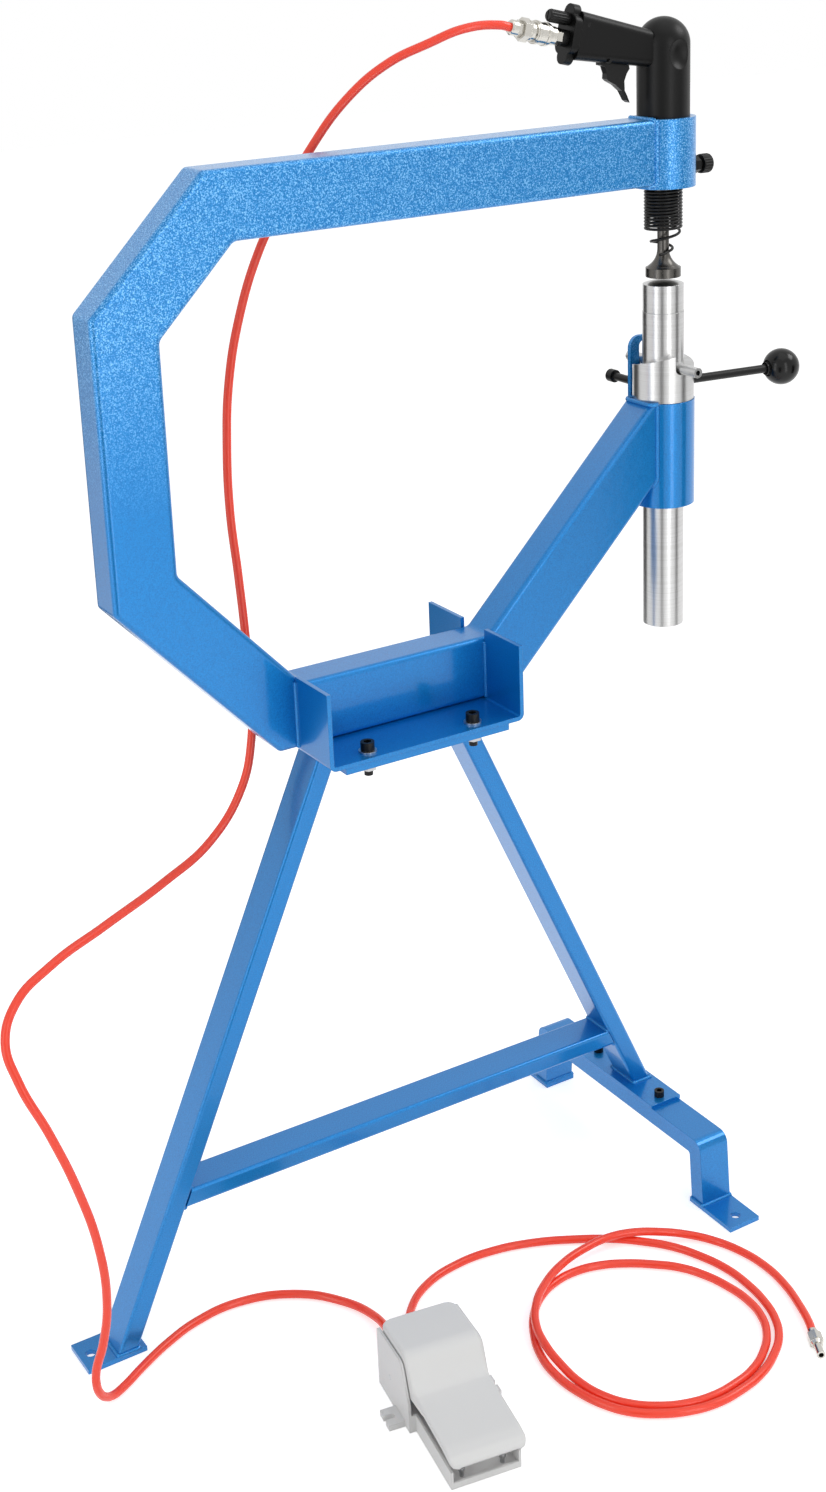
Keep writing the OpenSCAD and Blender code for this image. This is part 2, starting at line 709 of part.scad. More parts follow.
// Saddle: a bent plate whose flanges stand up on both sides of the beam
base_z = beam_z - saddle_t;
bolt_x = 70;
bolt_y = 78;
bolt_d = 10;
bolt_l = 30;
washer_t = 2;
module at_saddle_bolts(z) {
    for (x = [-1, 1], y = [-1, 1]) translate([stand_x + x * bolt_x, y * bolt_y, z]) children();
}
module saddle_plate() {
    half = saddle_l / 2;
    line = [[stand_x - half, beam_z + flange_h], [stand_x - half, base_z], [stand_x + half, base_z],
        [stand_x + half, beam_z + flange_h]];
    color("dodgerblue") difference() {
        slab_xz(saddle_w) polygon(strip(line, saddle_t, [0, 8, 8, 0], [0, 3, 3, 0]));
        for (x = [-1, 1]) translate([stand_x + x * half - 10, -tube_w / 2 - weld, beam_z])
            cube([20, tube_w + 2 * weld, flange_h + 10]);
        at_saddle_bolts(base_z - cut_over) cylinder(r = bolt_d / 2 + 0.5, h = saddle_t + 2 * cut_over);
    }
}

module saddle_washers() {
    color("silver") at_saddle_bolts(beam_z) difference() {
        cylinder(r = bolt_d + 0.5, h = washer_t);
        translate([0, 0, -cut_over]) cylinder(r = bolt_d / 2 + 0.25, h = washer_t + 2 * cut_over);
    }
}

module saddle_bolts() {
    color("black") at_saddle_bolts(beam_z + washer_t) cap_screw(bolt_d, bolt_l);
}

plate_low_z = base_z - top_plate_t;
module saddle_nuts() {
    color("silver") at_saddle_bolts(plate_low_z - 8) hex_nut(17, 8, bolt_d / 2 + fit);
}

module stand_top_plate() {
    color("dodgerblue") difference() {
        translate([stand_x - top_plate_l / 2, 1 - saddle_w / 2, plate_low_z])
            cube([top_plate_l, saddle_w - 2, top_plate_t]);
        at_saddle_bolts(plate_low_z - cut_over) cylinder(r = bolt_d / 2 + 0.5, h = top_plate_t + 2 * cut_over);
    }
}

// Legs: box tubes whose outer faces run from leg_top_run out to leg_floor_run
leg_angle = atan2(leg_floor_run - leg_top_run, plate_low_z);
function leg_x(z) = leg_top_run + (plate_low_z - z) * tan(leg_angle);
joint_plate_t = 5;
joint_plate_l = 160;
joint_z = foot_bar_z + joint_plate_t;
module leg(low_z) {
    length = plate_low_z / cos(leg_angle);
    intersection() {
        translate([leg_floor_run, 0, 0]) rotate([0, -leg_angle, 0]) translate([-leg_t / 2, 0, -leg_t])
            rotate([0, 0, 90]) box_tube(leg_w, leg_t, 4, 2.5, length + 2 * leg_t);
        translate([0, -leg_w, low_z]) cube([2 * leg_floor_run, 2 * leg_w, plate_low_z - low_z]);
    }
}

module left_leg() {
    color("dodgerblue") translate([stand_x, 0, 0]) mirror([1, 0, 0]) leg(foot_plate_t);
}

module right_leg() {
    color("dodgerblue") translate([stand_x, 0, 0]) leg(joint_z);
}

module stand_crossbar() {
    skew = leg_t / cos(leg_angle) + seat / 2;
    high = leg_x(crossbar_z) - skew;
    low = leg_x(crossbar_z - crossbar_t) - skew;
    color("dodgerblue") intersection() {
        translate([stand_x - leg_floor_run, 0, crossbar_z - crossbar_t / 2]) rotate([90, 0, 90])
            box_tube(leg_w, crossbar_t, 4, 2.5, 2 * leg_floor_run);
        slab_xz(leg_w + 2) polygon([[stand_x - high, crossbar_z], [stand_x + high, crossbar_z],
            [stand_x + low, crossbar_z - crossbar_t], [stand_x - low, crossbar_z - crossbar_t]]);
    }
}

foot_plate_l = 74;
module left_foot_plate() {
    left_x = stand_x - leg_floor_run - 36;
    color("dodgerblue") difference() {
        translate([left_x, -leg_w / 2 - 2, 0]) cube([foot_plate_l, leg_w + 4, foot_plate_t]);
        translate([left_x + 14, 0, -cut_over]) cylinder(d = anchor_d, h = foot_plate_t + 2 * cut_over);
    }
}

// Foot bar: a box tube bent down at both ends
joint_bolt_y = 66;
joint_d = 8;
splay = 7;
foot_line = [[-foot_bar_half - splay, foot_plate_t], [-foot_bar_half, foot_bar_z], [foot_bar_half, foot_bar_z],
    [foot_bar_half + splay, foot_plate_t]];
module foot_bar() {
    wall = 2.5;
    hollow = shift_path(foot_line, -wall);
    color("dodgerblue") difference() {
        slab_yz(foot_bar_w) polygon(strip(foot_line, -foot_bar_t, [0, 14, 14, 0], [0, 4, 4, 0]));
        slab_yz(foot_bar_w - 2 * wall)
            polygon(strip(hollow, 2 * wall - foot_bar_t, [0, 11, 11, 0], [0, 6, 6, 0]));
        for (y = [-joint_bolt_y, joint_bolt_y]) translate([0, y, 0]) cylinder(r = joint_d / 2 + 0.4, h = foot_bar_z + 5);
        translate([-foot_bar_w, -2 * foot_bar_half, -foot_plate_t])
            cube([2 * foot_bar_w, 4 * foot_bar_half, 2 * foot_plate_t]);
    }
}

module foot_bar_plates() {
    color("dodgerblue") for (side = [0, 180]) rotate([0, 0, side]) difference() {
        translate([-foot_bar_w / 2 - 1, foot_bar_half - foot_bar_t + 4, 0])
            cube([foot_bar_w + 2, anchor_out + foot_bar_t + 14, foot_plate_t]);
        translate([0, foot_bar_half + anchor_out, -cut_over]) cylinder(d = anchor_d, h = foot_plate_t + 2 * cut_over);
    }
}

module joint_plate() {
    color("dodgerblue") difference() {
        translate([-foot_bar_w / 2 - 1.5, -joint_plate_l / 2, foot_bar_z])
            cube([foot_bar_w + 3, joint_plate_l, joint_plate_t]);
        for (y = [-joint_bolt_y, joint_bolt_y])
            translate([0, y, 0]) cylinder(r = joint_d / 2 + 0.4, h = 2 * foot_bar_z);
    }
}

module joint_bolts() {
    color("black") for (y = [-joint_bolt_y, joint_bolt_y]) translate([0, y, joint_z]) cap_screw(joint_d, 36);
}

module joint_nuts() {
    color("silver") for (y = [-joint_bolt_y, joint_bolt_y])
        translate([0, y, foot_bar_z - foot_bar_t - 6.5]) hex_nut(13, 6.5, joint_d / 2 + fit);
}

// Foot pedal, drawn with its front edge at y = 0 and y running to its back
pedal_pos = [-507, -415, 0];
module at_pedal() {
    translate(pedal_pos) rotate([0, 0, pedal_yaw]) children();
}
tray_w = 82;
rear_w = cover_w + 8;
rear_y = 96;
hinge_y = 150;
hinge_z = 34;
cheek_h = 76;
lug_t = 7;
cover_line = [[-11, 36], [-7, 44], [8, 48], [66, 52], [88, 54], [98, 64], [110, 84], [120, 88], [184, 82]];
cover_round = [0, 4, 10, 30, 12, 12, 14, 14, 0];
cover_corner = 9;

module pedal_base() {
    wall = 3;
    color("lightgray") at_pedal() difference() {
        union() {
            difference() {
                translate([-tray_w / 2, 0, 0]) cube([tray_w, rear_y + 2, tray_h]);
                translate([wall - tray_w / 2, wall, wall]) cube([tray_w - 2 * wall, rear_y + 10, tray_h]);
                translate([wall - tray_w / 2, -wall, 8]) cube([tray_w - 2 * wall, 3 * wall, tray_h]);
            }
            translate([-rear_w / 2, rear_y, 0]) cube([rear_w, pedal_l - rear_y, wall]);
            for (x = [-1, 1]) translate([x * (rear_w / 2 - wall / 2), 0, 0]) slab_yz(wall)
                polygon(rounded([[rear_y, 0], [rear_y, tray_h + 14], [rear_y + 18, cheek_h + 4],
                    [pedal_l, cheek_h], [pedal_l, 0]], [0, 10, 12, 5, 0]));
            for (x = [-1, 1]) translate([x * (rear_w + tray_w) / 4 - (rear_w - tray_w) / 4, rear_y, 0])
                cube([(rear_w - tray_w) / 2, wall, tray_h]);
            for (x = [-1, 1]) translate([x * (rear_w / 2 + 9) - 10, 108, 0]) cube([20, 28, lug_t]);
        }
        for (x = [-1, 1]) {
            translate([x * (rear_w / 2 + 10), 122, -cut_over]) cylinder(r = 3.2, h = 12);
            translate([x * (rear_w / 2 + 20) - 10, 118.8, -cut_over]) cube([20, 6.4, 12]);
        }
        translate([0, hinge_y, hinge_z]) rotate([0, 90, 0]) cylinder(r = 3 + fit, h = 2 * rear_w, center = true);
    }
}

module pedal_pin() {
    color("silver") at_pedal() translate([0, hinge_y, hinge_z]) rotate([0, 90, 0])
        cylinder(r = 3, h = rear_w, center = true);
}

press_y = 125;
press_z = 54;
valve_top_z = 41;
module pedal_cover() {
    skirt = concat([for (i = [4:8]) cover_line[i]], [[184, 60], [176, 28], [140, 26], [100, 42]]);
    color("lightgray") at_pedal() difference() {
        intersection() {
            union() {
                slab_yz(cover_w) polygon(strip(cover_line, -cover_t, cover_round, cover_round));
                for (x = [-1, 1]) translate([x * (cover_w - cover_t) / 2, 0, 0]) slab_yz(cover_t)
                    polygon(concat([cover_line[3]], skirt));
                translate([-12, press_y - 2, press_z + seat + 0.2]) cube([24, 4, 86 - press_z]);
            }
            translate([0, (cover_line[0][0] + cover_line[8][0]) / 2, 0]) linear_extrude(100)
                rounded_rect(cover_w, cover_line[8][0] - cover_line[0][0], cover_corner);
        }
        translate([0, hinge_y, hinge_z]) rotate([0, 90, 0]) cylinder(r = 3 + fit, h = 2 * rear_w, center = true);
    }
}

valve_w = 46;
valve_from = 110;
valve_to = 168;
module pedal_valve() {
    color("dimgray") at_pedal() difference() {
        union() {
            translate([-valve_w / 2, valve_from, 3]) cube([valve_w, valve_to - valve_from, 25]);
            translate([0, press_y, 3]) cylinder(r = 10, h = valve_top_z - 3);
        }
        translate([0, press_y, 8]) cylinder(r = 4 + fit, h = 40);
        for (x = [-15, 13]) translate([x, valve_to - 12, port_z]) rotate([-90, 0, 0]) cylinder(r = 6 + fit, h = 20);
    }
}

module pedal_plunger() {
    color("silver") at_pedal() translate([0, press_y, 0]) {
        translate([0, 0, 12]) cylinder(r = 4, h = press_z - 12);
        translate([0, 0, press_z - 3]) cylinder(r = 8, h = 3);
    }
}

module pedal_spring() {
    wire_r = 0.6;
    turns = 4;
    room = press_z - 3 - valve_top_z;
    color("silver") at_pedal() translate([0, press_y, valve_top_z + seat])
        coil(6, wire_r, (room - 2 * wire_r - 2 * seat) / turns, turns);
}

module pedal_stop_screws() {
    color("dimgray") at_pedal() for (x = [-24, 24]) translate([x, 12, 3]) {
        cylinder(r = 2.5, h = 8);
        translate([0, 0, 8]) cylinder(r = 4, h = 4);
    }
}

port_z = 15;
port_x = [-15, 13];
fitting_to = 190;
module hose_fittings() {
    color("dimgray") at_pedal() for (x = port_x) translate([x, 0, port_z]) rotate([-90, 0, 0]) difference() {
        union() {
            translate([0, 0, valve_to - 10]) cylinder(r = 6, h = 12);
            translate([0, 0, valve_to + seat]) cylinder(r = 7.5, h = 9, $fn = 6);
            translate([0, 0, valve_to + 9]) cylinder(r = 7, h = fitting_to - valve_to - 9);
        }
        translate([0, 0, fitting_to - 6]) cylinder(r = 3, h = 10);
    }
}

// Hoses: points along the middle of each, in millimetres
hose_start_up = nut_from + nut_l;
function handle_point(s) = [end_x - inlet_up * -sin(handle_tilt) - s * cos(handle_tilt), 0,
    end_z + inlet_up * cos(handle_tilt) + s * sin(handle_tilt)];
function pedal_point(x, y, z) = pedal_pos + [x * cos(pedal_yaw) - y * sin(pedal_yaw),
    x * sin(pedal_yaw) + y * cos(pedal_yaw), z];

hammer_hose_line = concat([handle_point(hose_start_up), handle_point(hose_start_up + 12)],
    [[-208, 8, 1466], [-245, 25, 1452], [-285, 45, 1433], [-327, 62, 1399], [-371, 74, 1346],
    [-408, 80, 1290], [-440, 80, 1238], [-466, 80, 1175], [-484, 80, 1105], [-492, 80, 1030],
    [-494, 79, 955], [-491, 75, 882], [-490, 69, 812], [-491, 63, 744], [-497, 57, 687], [-517, 50, 634],
    [-565, 41, 584], [-633, 26, 558], [-717, 2, 540], [-794, -25, 527], [-845, -48, 508], [-865, -64, 478],
    [-861, -80, 438], [-838, -95, 373], [-817, -104, 303], [-801, -108, 225], [-797, -106, 149],
    [-804, -101, 96], [-814, -97, 60], [-815, -97, 43], [-811, -94, 28], [-803, -89, 16], [-791, -82, 8],
    [-777, -74, 5.2], [-740, -53, 5.2], [-700, -33, 5.2], [-655, -18, 5.2], [-600, -15, 5.2],
    [-535, -40, 5.2], [-494, -84, 5.2], [-478, -130, 8], [-481, -172, 13]],
    [pedal_point(port_x[0], fitting_to + 12, port_z), pedal_point(port_x[0], fitting_to, port_z)]);

supply_hose_line = concat(
    [pedal_point(port_x[1], fitting_to, port_z), pedal_point(port_x[1], fitting_to + 12, port_z)],
    [[-455, -178, 12], [-432, -142, 7], [-392, -114, 5.2], [-342, -103, 5.2], [-292, -106, 5.2],
    [-244, -120, 5.2], [-198, -143, 5.2], [-154, -172, 5.2], [-128, -196, 5.2], [-104, -225, 5.2],
    [-88, -257, 5.2], [-77, -294, 5.2], [-75, -330, 5.2], [-79, -365, 5.2], [-89, -396, 5.2],
    [-106, -422, 5.2], [-131, -442, 5.2], [-163, -458, 5.2], [-200, -466, 5.2], [-236, -467, 5.2],
    [-270, -459, 5.2], [-298, -445, 5.2], [-322, -426, 5.2], [-340, -400, 5.2], [-352, -368, 5.2],
    [-357, -332, 5.2], [-352, -294, 5.2], [-337, -259, 5.2], [-317, -231, 5.2], [-291, -210, 5.2],
    [-261, -198, 5.2], [-230, -196, 5.2], [-200, -203, 5.2], [-171, -218, 5.2], [-145, -238, 5.2],
    [-122, -261, 5.2], [-106, -290, 5.2], [-97, -321, 5.2], [-94, -354, 5.2], [-100, -385, 5.2],
    [-115, -411, 5.2], [-138, -432, 5.2], [-168, -448, 5.2], [-201, -455, 5.2], [-233, -456, 5.2],
    [-265, -449, 5.2], [-291, -436, 5.2], [-315, -416, 5.2], [-332, -390, 5.2], [-342, -358, 6],
    [-345, -325, 9.4], [-344, -293, 14.2], [-334, -260, 15.8], [-314, -231, 16.1], [-282, -205, 16.2],
    [-242, -186, 16], [-204, -178, 16], [-167, -177, 16], [-136, -186, 16], [-105, -201, 13],
    [-77, -218, 8], [-55, -243, 5.2], [-41, -277, 5.2], [-35, -317, 5.2], [-39, -357, 5.2],
    [-51, -396, 6.4], [-63, -425, 7.6], [-71, -440, 7.6]]);

function path_length(p) = len(p) < 2 ? 0 : path_sum(p, 0, 0);
function path_sum(p, i, s) = i >= len(p) - 1 ? s : path_sum(p, i + 1, s + norm(p[i + 1] - p[i]));
echo(hammer_hose_mm = path_length(hammer_hose_line), supply_hose_mm = path_length(supply_hose_line));
function finer(p, parts) = [for (i = [0:len(p) - 2], k = [0:parts - 1]) p[i] + (p[i + 1] - p[i]) * k / parts];
echo(supply_hose_gap = least_gap(finer(supply_hose_line, 4), hose_d, 12));

module hammer_hose() {
    color("tomato") sweep_tube(hammer_hose_line, hose_d / 2, 8);
}

module supply_hose() {
    color("tomato") sweep_tube(supply_hose_line, hose_d / 2, 8);
}

// Connector on the free end of the supply hose
module supply_connector() {
    p = supply_hose_line[len(supply_hose_line) - 1];
    q = supply_hose_line[len(supply_hose_line) - 2];
    d = unit(p - q);
    color("silver") translate(p) rotate([0, acos(d[2]), atan2(d[1], d[0])]) difference() {
        union() {
            cylinder(r = 6.4, h = 12);
            translate([0, 0, 6]) cylinder(r = 9, h = 14, $fn = 6);
            translate([0, 0, 20]) cylinder(r1 = 7.4, r2 = 6, h = 4);
            translate([0, 0, 24]) cylinder(r = 5, h = 16);
        }
        translate([0, 0, 18]) cylinder(r = 3, h = 40);
    }
}

module upper_corner_tube() { frame_tube(1); }
module column_tube() { frame_tube(2); }
module lower_corner_tube() { frame_tube(3); }
module bottom_beam_tube() { frame_tube(4); }

upper_arm_tube();
upper_corner_tube();
column_tube();
lower_corner_tube();
bottom_beam_tube();
lower_arm_tube();
hammer_collar();
anvil_boss();
pin_guide();
saddle_plate();
saddle_bolts();
saddle_washers();
saddle_nuts();
stand_top_plate();
left_leg();
right_leg();
stand_crossbar();
left_foot_plate();
joint_plate();
foot_bar();
foot_bar_plates();
joint_bolts();
joint_nuts();
hammer_housing();
handle_end_plate();
inlet_bush();
regulator_knob();
trigger();
trigger_pin();
handle_roll_pin();
throttle_valve();
throttle_spring();
hammer_cylinder();
piston();
retainer_spring();
upper_die();
coupler_plug();
coupler_body();
coupler_sleeve();
hose_nut();
hammer_clamp_screw();
clamp_screw_nut();
lower_die();
anvil_post();
cross_pin();
cam_collar();
cam_lever();
ball_knob();
cam_lock_screw();
pedal_base();
pedal_cover();
pedal_pin();
pedal_valve();
pedal_plunger();
pedal_spring();
pedal_stop_screws();
hose_fittings();
hammer_hose();
supply_hose();
supply_connector();
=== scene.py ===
import json
import math

import bmesh
import bpy
from mathutils import Matrix, Vector


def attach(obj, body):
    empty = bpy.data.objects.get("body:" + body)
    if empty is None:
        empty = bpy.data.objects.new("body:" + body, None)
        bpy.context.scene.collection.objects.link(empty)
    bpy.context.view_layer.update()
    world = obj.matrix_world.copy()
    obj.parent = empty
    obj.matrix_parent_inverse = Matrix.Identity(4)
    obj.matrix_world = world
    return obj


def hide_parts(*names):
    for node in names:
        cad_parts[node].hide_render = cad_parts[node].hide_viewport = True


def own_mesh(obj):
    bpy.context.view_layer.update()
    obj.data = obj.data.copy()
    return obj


bl_info = {
    "name": "Planishing hammer finish",
    "version": (1, 0, 0),
    "blender": (4, 5, 0),
    "location": "3D View > Sidebar > Planishing hammer",
    "description": "Finishes, hoses, springs, weld beads and studio for the planishing hammer",
    "category": "Object",
}

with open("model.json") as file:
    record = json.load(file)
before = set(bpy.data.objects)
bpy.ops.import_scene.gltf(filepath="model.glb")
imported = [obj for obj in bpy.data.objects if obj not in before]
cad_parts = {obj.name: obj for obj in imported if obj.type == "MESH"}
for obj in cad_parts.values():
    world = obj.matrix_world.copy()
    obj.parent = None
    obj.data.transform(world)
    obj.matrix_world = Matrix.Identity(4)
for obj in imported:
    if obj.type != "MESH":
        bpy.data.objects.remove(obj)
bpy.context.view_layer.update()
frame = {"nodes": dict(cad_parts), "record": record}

MM = 0.001
WHITE = (1, 1, 1, 1)

# Middle of the hammer, the dies and the post, and the size of the photo in pixels
WORK_X = 58 * MM
IMAGE_W, IMAGE_H = 826, 1492

# C frame: its box tube, its outer line in x and z from the collar round to the boss, and the boss. The skin
# ends SKIN_SINK inside the collar and the boss and SKIN_DROP below the boss's top, so that no faces coincide.
TUBE_H, TUBE_W, TUBE_CORNER = 76 * MM, 50 * MM, 6 * MM
FRAME_LINE = [Vector(p) * MM for p in (
    (58, 1350), (-549, 1350), (-685, 1214), (-685, 900), (-501, 700), (-187.52, 700), (134, 1021.52))]
BOSS_R, BOSS_TOP = 38 * MM, 1015 * MM
SKIN_SINK, SKIN_DROP = 2 * MM, 0.2 * MM

# Stand: middle, top of the legs, where a leg's outer face is at that level and at the floor, and the leg's
# section; the tops of the foot plates and of the foot bar; the crossbar's two faces, and how much shorter its
# bead is at each end; half of the foot bar's width, and the two faces of its upright ends
STAND_X, LEG_TOP = -350 * MM, 687 * MM
LEG_TOP_RUN, LEG_FLOOR_RUN, LEG_W, LEG_T = 101 * MM, 412 * MM, 48 * MM, 24 * MM
FOOT_PLATE_TOP, FOOT_BAR_TOP = 6 * MM, 98 * MM
CROSSBAR_FACES = 167 * MM, 189 * MM
CROSSBAR_MARGIN = 2 * MM
FOOT_BAR_HALF_W, FOOT_BAR_ENDS = 22 * MM, (183 * MM, 161 * MM)

# Saddle and pin guide, in millimetres: x of each flange face with the flange's top, half of the beam's width
# at the bead, the saddle's floor, and where the bead stops below the top; the guide's middle, half of its
# width, its place behind the post, its ends
FLANGE_FACES = ((-478.5, 785), (-473.5, 780), (-226.5, 776), (-221.5, 776))
FLANGE_BEAD_Y, SADDLE_FLOOR, FLANGE_MARGIN = 25.2, 702, 5
GUIDE_X, GUIDE_HALF_W, GUIDE_Y, GUIDE_ENDS = 58, 19.2, 35.6, (957, 1013)

# Weld beads: sides of the round run, depth of a ripple and unevenness as shares of the width, and how often
# the width drifts, per metre
BEAD_SIDES, RIPPLE_DEPTH, UNEVENNESS, WIDTH_DRIFT = 8, 0.08, 0.25, 90.0

# Pedal: where it stands, its turn, and the side view of its cover as y and z from its front edge
PEDAL_PLACE, PEDAL_YAW = Vector((-507, -415, 0)) * MM, math.radians(-9)
COVER_TOP = [(-11, 36), (-7, 44), (8, 48), (66, 52), (88, 54), (98, 64), (110, 84), (120, 88), (184, 82)]
COVER_LOW = [(64, 46), (100, 42), (140, 26), (176, 28), (184, 60)]
# Its width, sheet and number of slices; radii of its corners seen from above and of its edge outside and
# inside; the least height of a skirt and of the straight part below the edge, and how far from the edge a
# point holds the top flat
COVER_W, COVER_T, COVER_SLICES = 90, 2.6, 130
COVER_CORNER, COVER_EDGE, COVER_EDGE_IN = 9, 3.5, 1.0
LEAST_SKIRT, LEAST_STRAIGHT, EDGE_HOLD = 4.5, 0.2, 1
# The bends of its side view are rolled over ROLL_REACH samples to each side, ROLL_STEP apart
ROLL_REACH, ROLL_STEP = 6, 0.75

# Springs: points to a turn and sides of the wire; then, in millimetres and degrees, foot and wire of the two
# thin ones, with radius, pitch and turns of their coil
COIL_RINGS, WIRE_SIDES, THIN_WIRE_SIDES = 24, 14, 8
THROTTLE_FOOT, THROTTLE_WIRE, THROTTLE_COIL = (-6, 0, 1438.5), 1.4, (3, 2.3, 5)
PEDAL_FOOT, PEDAL_WIRE, PEDAL_COIL = (0, 125, 41.9), 1.2, (6, 2.05, 4)
# The retaining spring has close turns from its top down, and from the angle TAIL_START on a tail that closes
# round the shank; the hook's two points are given by radius beyond the tail's, turn and drop
RETAINER_TURNS, RETAINER_PITCH, RETAINER_R, RETAINER_TOP = 12.5, 3.9, 21.3, 1268
TAIL_START, TAIL_R, TAIL_TURN, TAIL_DROP, TAIL_STEPS = 20, 10.5, 480, 22.1, 48
TAIL_HOOK = ((3, 495, 26.8), (9, 520, 28))

# Paint and steel: the levels between which the powder coat's painted glints and bumps grow, in metres, and
# how often a turned ring's tone drifts on its way round, per metre
GLINT_AND_BUMP_LEVELS, RING_DRIFT = (1.0, 1.2), 6

# Studio: the camera's sensor in millimetres; in metres how far it sees, where the soft boxes point, the
# floor's half size and level (and its own light), the dark cards' distance from the post and half height
SENSOR_W, SIGHT = 36, 60
LAMP_AIM = Vector((-0.25, 0, 0.8))
FLOOR_HALF, FLOOR_LEVEL, FLOOR_GLOW = 12, -0.0004, 0.55
CARD_FAR, CARD_HALF_H = 1.8, 0.6
# Soft boxes: angle round the post from +X, height, width, tall side, distance, share of the light
SOFT_BOXES = {
    "left_soft_box": (-168, 1.3, 0.65, 2.4, 3.0, 1.2),
    "right_soft_box": (-96, 1.2, 0.55, 2.4, 2.4, 1.3),
    "high_soft_box": (-26, 3.3, 1.6, 1.2, 2.4, 2.6),
    "top_soft_box": (-100, 3.6, 2.2, 2.2, 0.6, 0.25),
}
# Dark cards: angle round the post from +X and width
DARK_CARDS = {"dark_card_behind": (-134, 0.5), "dark_card_right": (-46, 0.6), "dark_card_left": (110, 1.3)}

# Hoses: steps between two points of a route and roundness of the tube; both routes along their middle, in
# metres
HOSE_STEPS, HOSE_ROUNDNESS = 8, 6
HAMMER_HOSE = [
    (-0.1551, 0, 1.4645), (-0.1668, 0, 1.4672), (-0.208, 0.008, 1.466), (-0.245, 0.025, 1.452),
    (-0.285, 0.045, 1.433), (-0.327, 0.062, 1.399), (-0.371, 0.074, 1.346), (-0.408, 0.08, 1.29),
    (-0.44, 0.08, 1.238), (-0.466, 0.08, 1.175), (-0.484, 0.08, 1.105), (-0.492, 0.08, 1.03),
    (-0.494, 0.079, 0.955), (-0.491, 0.075, 0.882), (-0.49, 0.069, 0.812), (-0.491, 0.063, 0.744),
    (-0.497, 0.057, 0.687), (-0.517, 0.05, 0.634), (-0.565, 0.041, 0.584), (-0.633, 0.026, 0.558),
    (-0.717, 0.002, 0.54), (-0.794, -0.025, 0.527), (-0.845, -0.048, 0.508), (-0.865, -0.064, 0.478),
    (-0.861, -0.08, 0.438), (-0.838, -0.095, 0.373), (-0.817, -0.104, 0.303), (-0.801, -0.108, 0.225),
    (-0.797, -0.106, 0.149), (-0.804, -0.101, 0.096), (-0.814, -0.097, 0.06), (-0.815, -0.097, 0.043),
    (-0.811, -0.094, 0.028), (-0.803, -0.089, 0.016), (-0.791, -0.082, 0.008), (-0.777, -0.074, 0.0052),
    (-0.74, -0.053, 0.0052), (-0.7, -0.033, 0.0052), (-0.655, -0.018, 0.0052), (-0.6, -0.015, 0.0052),
    (-0.535, -0.04, 0.0052), (-0.494, -0.084, 0.0052), (-0.478, -0.13, 0.008), (-0.481, -0.172, 0.013),
    (-0.4902, -0.2131, 0.015), (-0.4921, -0.225, 0.015)]
SUPPLY_HOSE = [
    (-0.4644, -0.2294, 0.015), (-0.4626, -0.2175, 0.015), (-0.455, -0.178, 0.012),
    (-0.432, -0.142, 0.007), (-0.392, -0.114, 0.0052), (-0.342, -0.103, 0.0052),
    (-0.292, -0.106, 0.0052), (-0.244, -0.12, 0.0052), (-0.198, -0.143, 0.0052),
    (-0.154, -0.172, 0.0052), (-0.128, -0.196, 0.0052), (-0.104, -0.225, 0.0052),
    (-0.088, -0.257, 0.0052), (-0.077, -0.294, 0.0052), (-0.075, -0.33, 0.0052),
    (-0.079, -0.365, 0.0052), (-0.089, -0.396, 0.0052), (-0.106, -0.422, 0.0052),
    (-0.131, -0.442, 0.0052), (-0.163, -0.458, 0.0052), (-0.2, -0.466, 0.0052), (-0.236, -0.467, 0.0052),
    (-0.27, -0.459, 0.0052), (-0.298, -0.445, 0.0052), (-0.322, -0.426, 0.0052), (-0.34, -0.4, 0.0052),
    (-0.352, -0.368, 0.0052), (-0.357, -0.332, 0.0052), (-0.352, -0.294, 0.0052),
    (-0.337, -0.259, 0.0052), (-0.317, -0.231, 0.0052), (-0.291, -0.21, 0.0052),
    (-0.261, -0.198, 0.0052), (-0.23, -0.196, 0.0052), (-0.2, -0.203, 0.0052), (-0.171, -0.218, 0.0052),
    (-0.145, -0.238, 0.0052), (-0.122, -0.261, 0.0052), (-0.106, -0.29, 0.0052),
    (-0.097, -0.321, 0.0052), (-0.094, -0.354, 0.0052), (-0.1, -0.385, 0.0052), (-0.115, -0.411, 0.0052),
    (-0.138, -0.432, 0.0052), (-0.168, -0.448, 0.0052), (-0.201, -0.455, 0.0052),
    (-0.233, -0.456, 0.0052), (-0.265, -0.449, 0.0052), (-0.291, -0.436, 0.0052),
    (-0.315, -0.416, 0.0052), (-0.332, -0.39, 0.0052), (-0.342, -0.358, 0.006), (-0.345, -0.325, 0.0094),
    (-0.344, -0.293, 0.0142), (-0.334, -0.26, 0.0158), (-0.314, -0.231, 0.0161),
    (-0.282, -0.205, 0.0162), (-0.242, -0.186, 0.016), (-0.204, -0.178, 0.016), (-0.167, -0.177, 0.016),
    (-0.136, -0.186, 0.016), (-0.105, -0.201, 0.013), (-0.077, -0.218, 0.008), (-0.055, -0.243, 0.0052),
    (-0.041, -0.277, 0.0052), (-0.035, -0.317, 0.0052), (-0.039, -0.357, 0.0052),
    (-0.051, -0.396, 0.0064), (-0.063, -0.425, 0.0076), (-0.071, -0.44, 0.0076)]


def linear(code):
    """Linear colour, with full alpha, of an sRGB hex value."""
    parts = [int(code[i:i + 2], 16) / 255 for i in (1, 3, 5)]
    return tuple(c / 12.92 if c <= 0.04045 else ((c + 0.055) / 1.055) ** 2.4 for c in parts) + (1.0,)


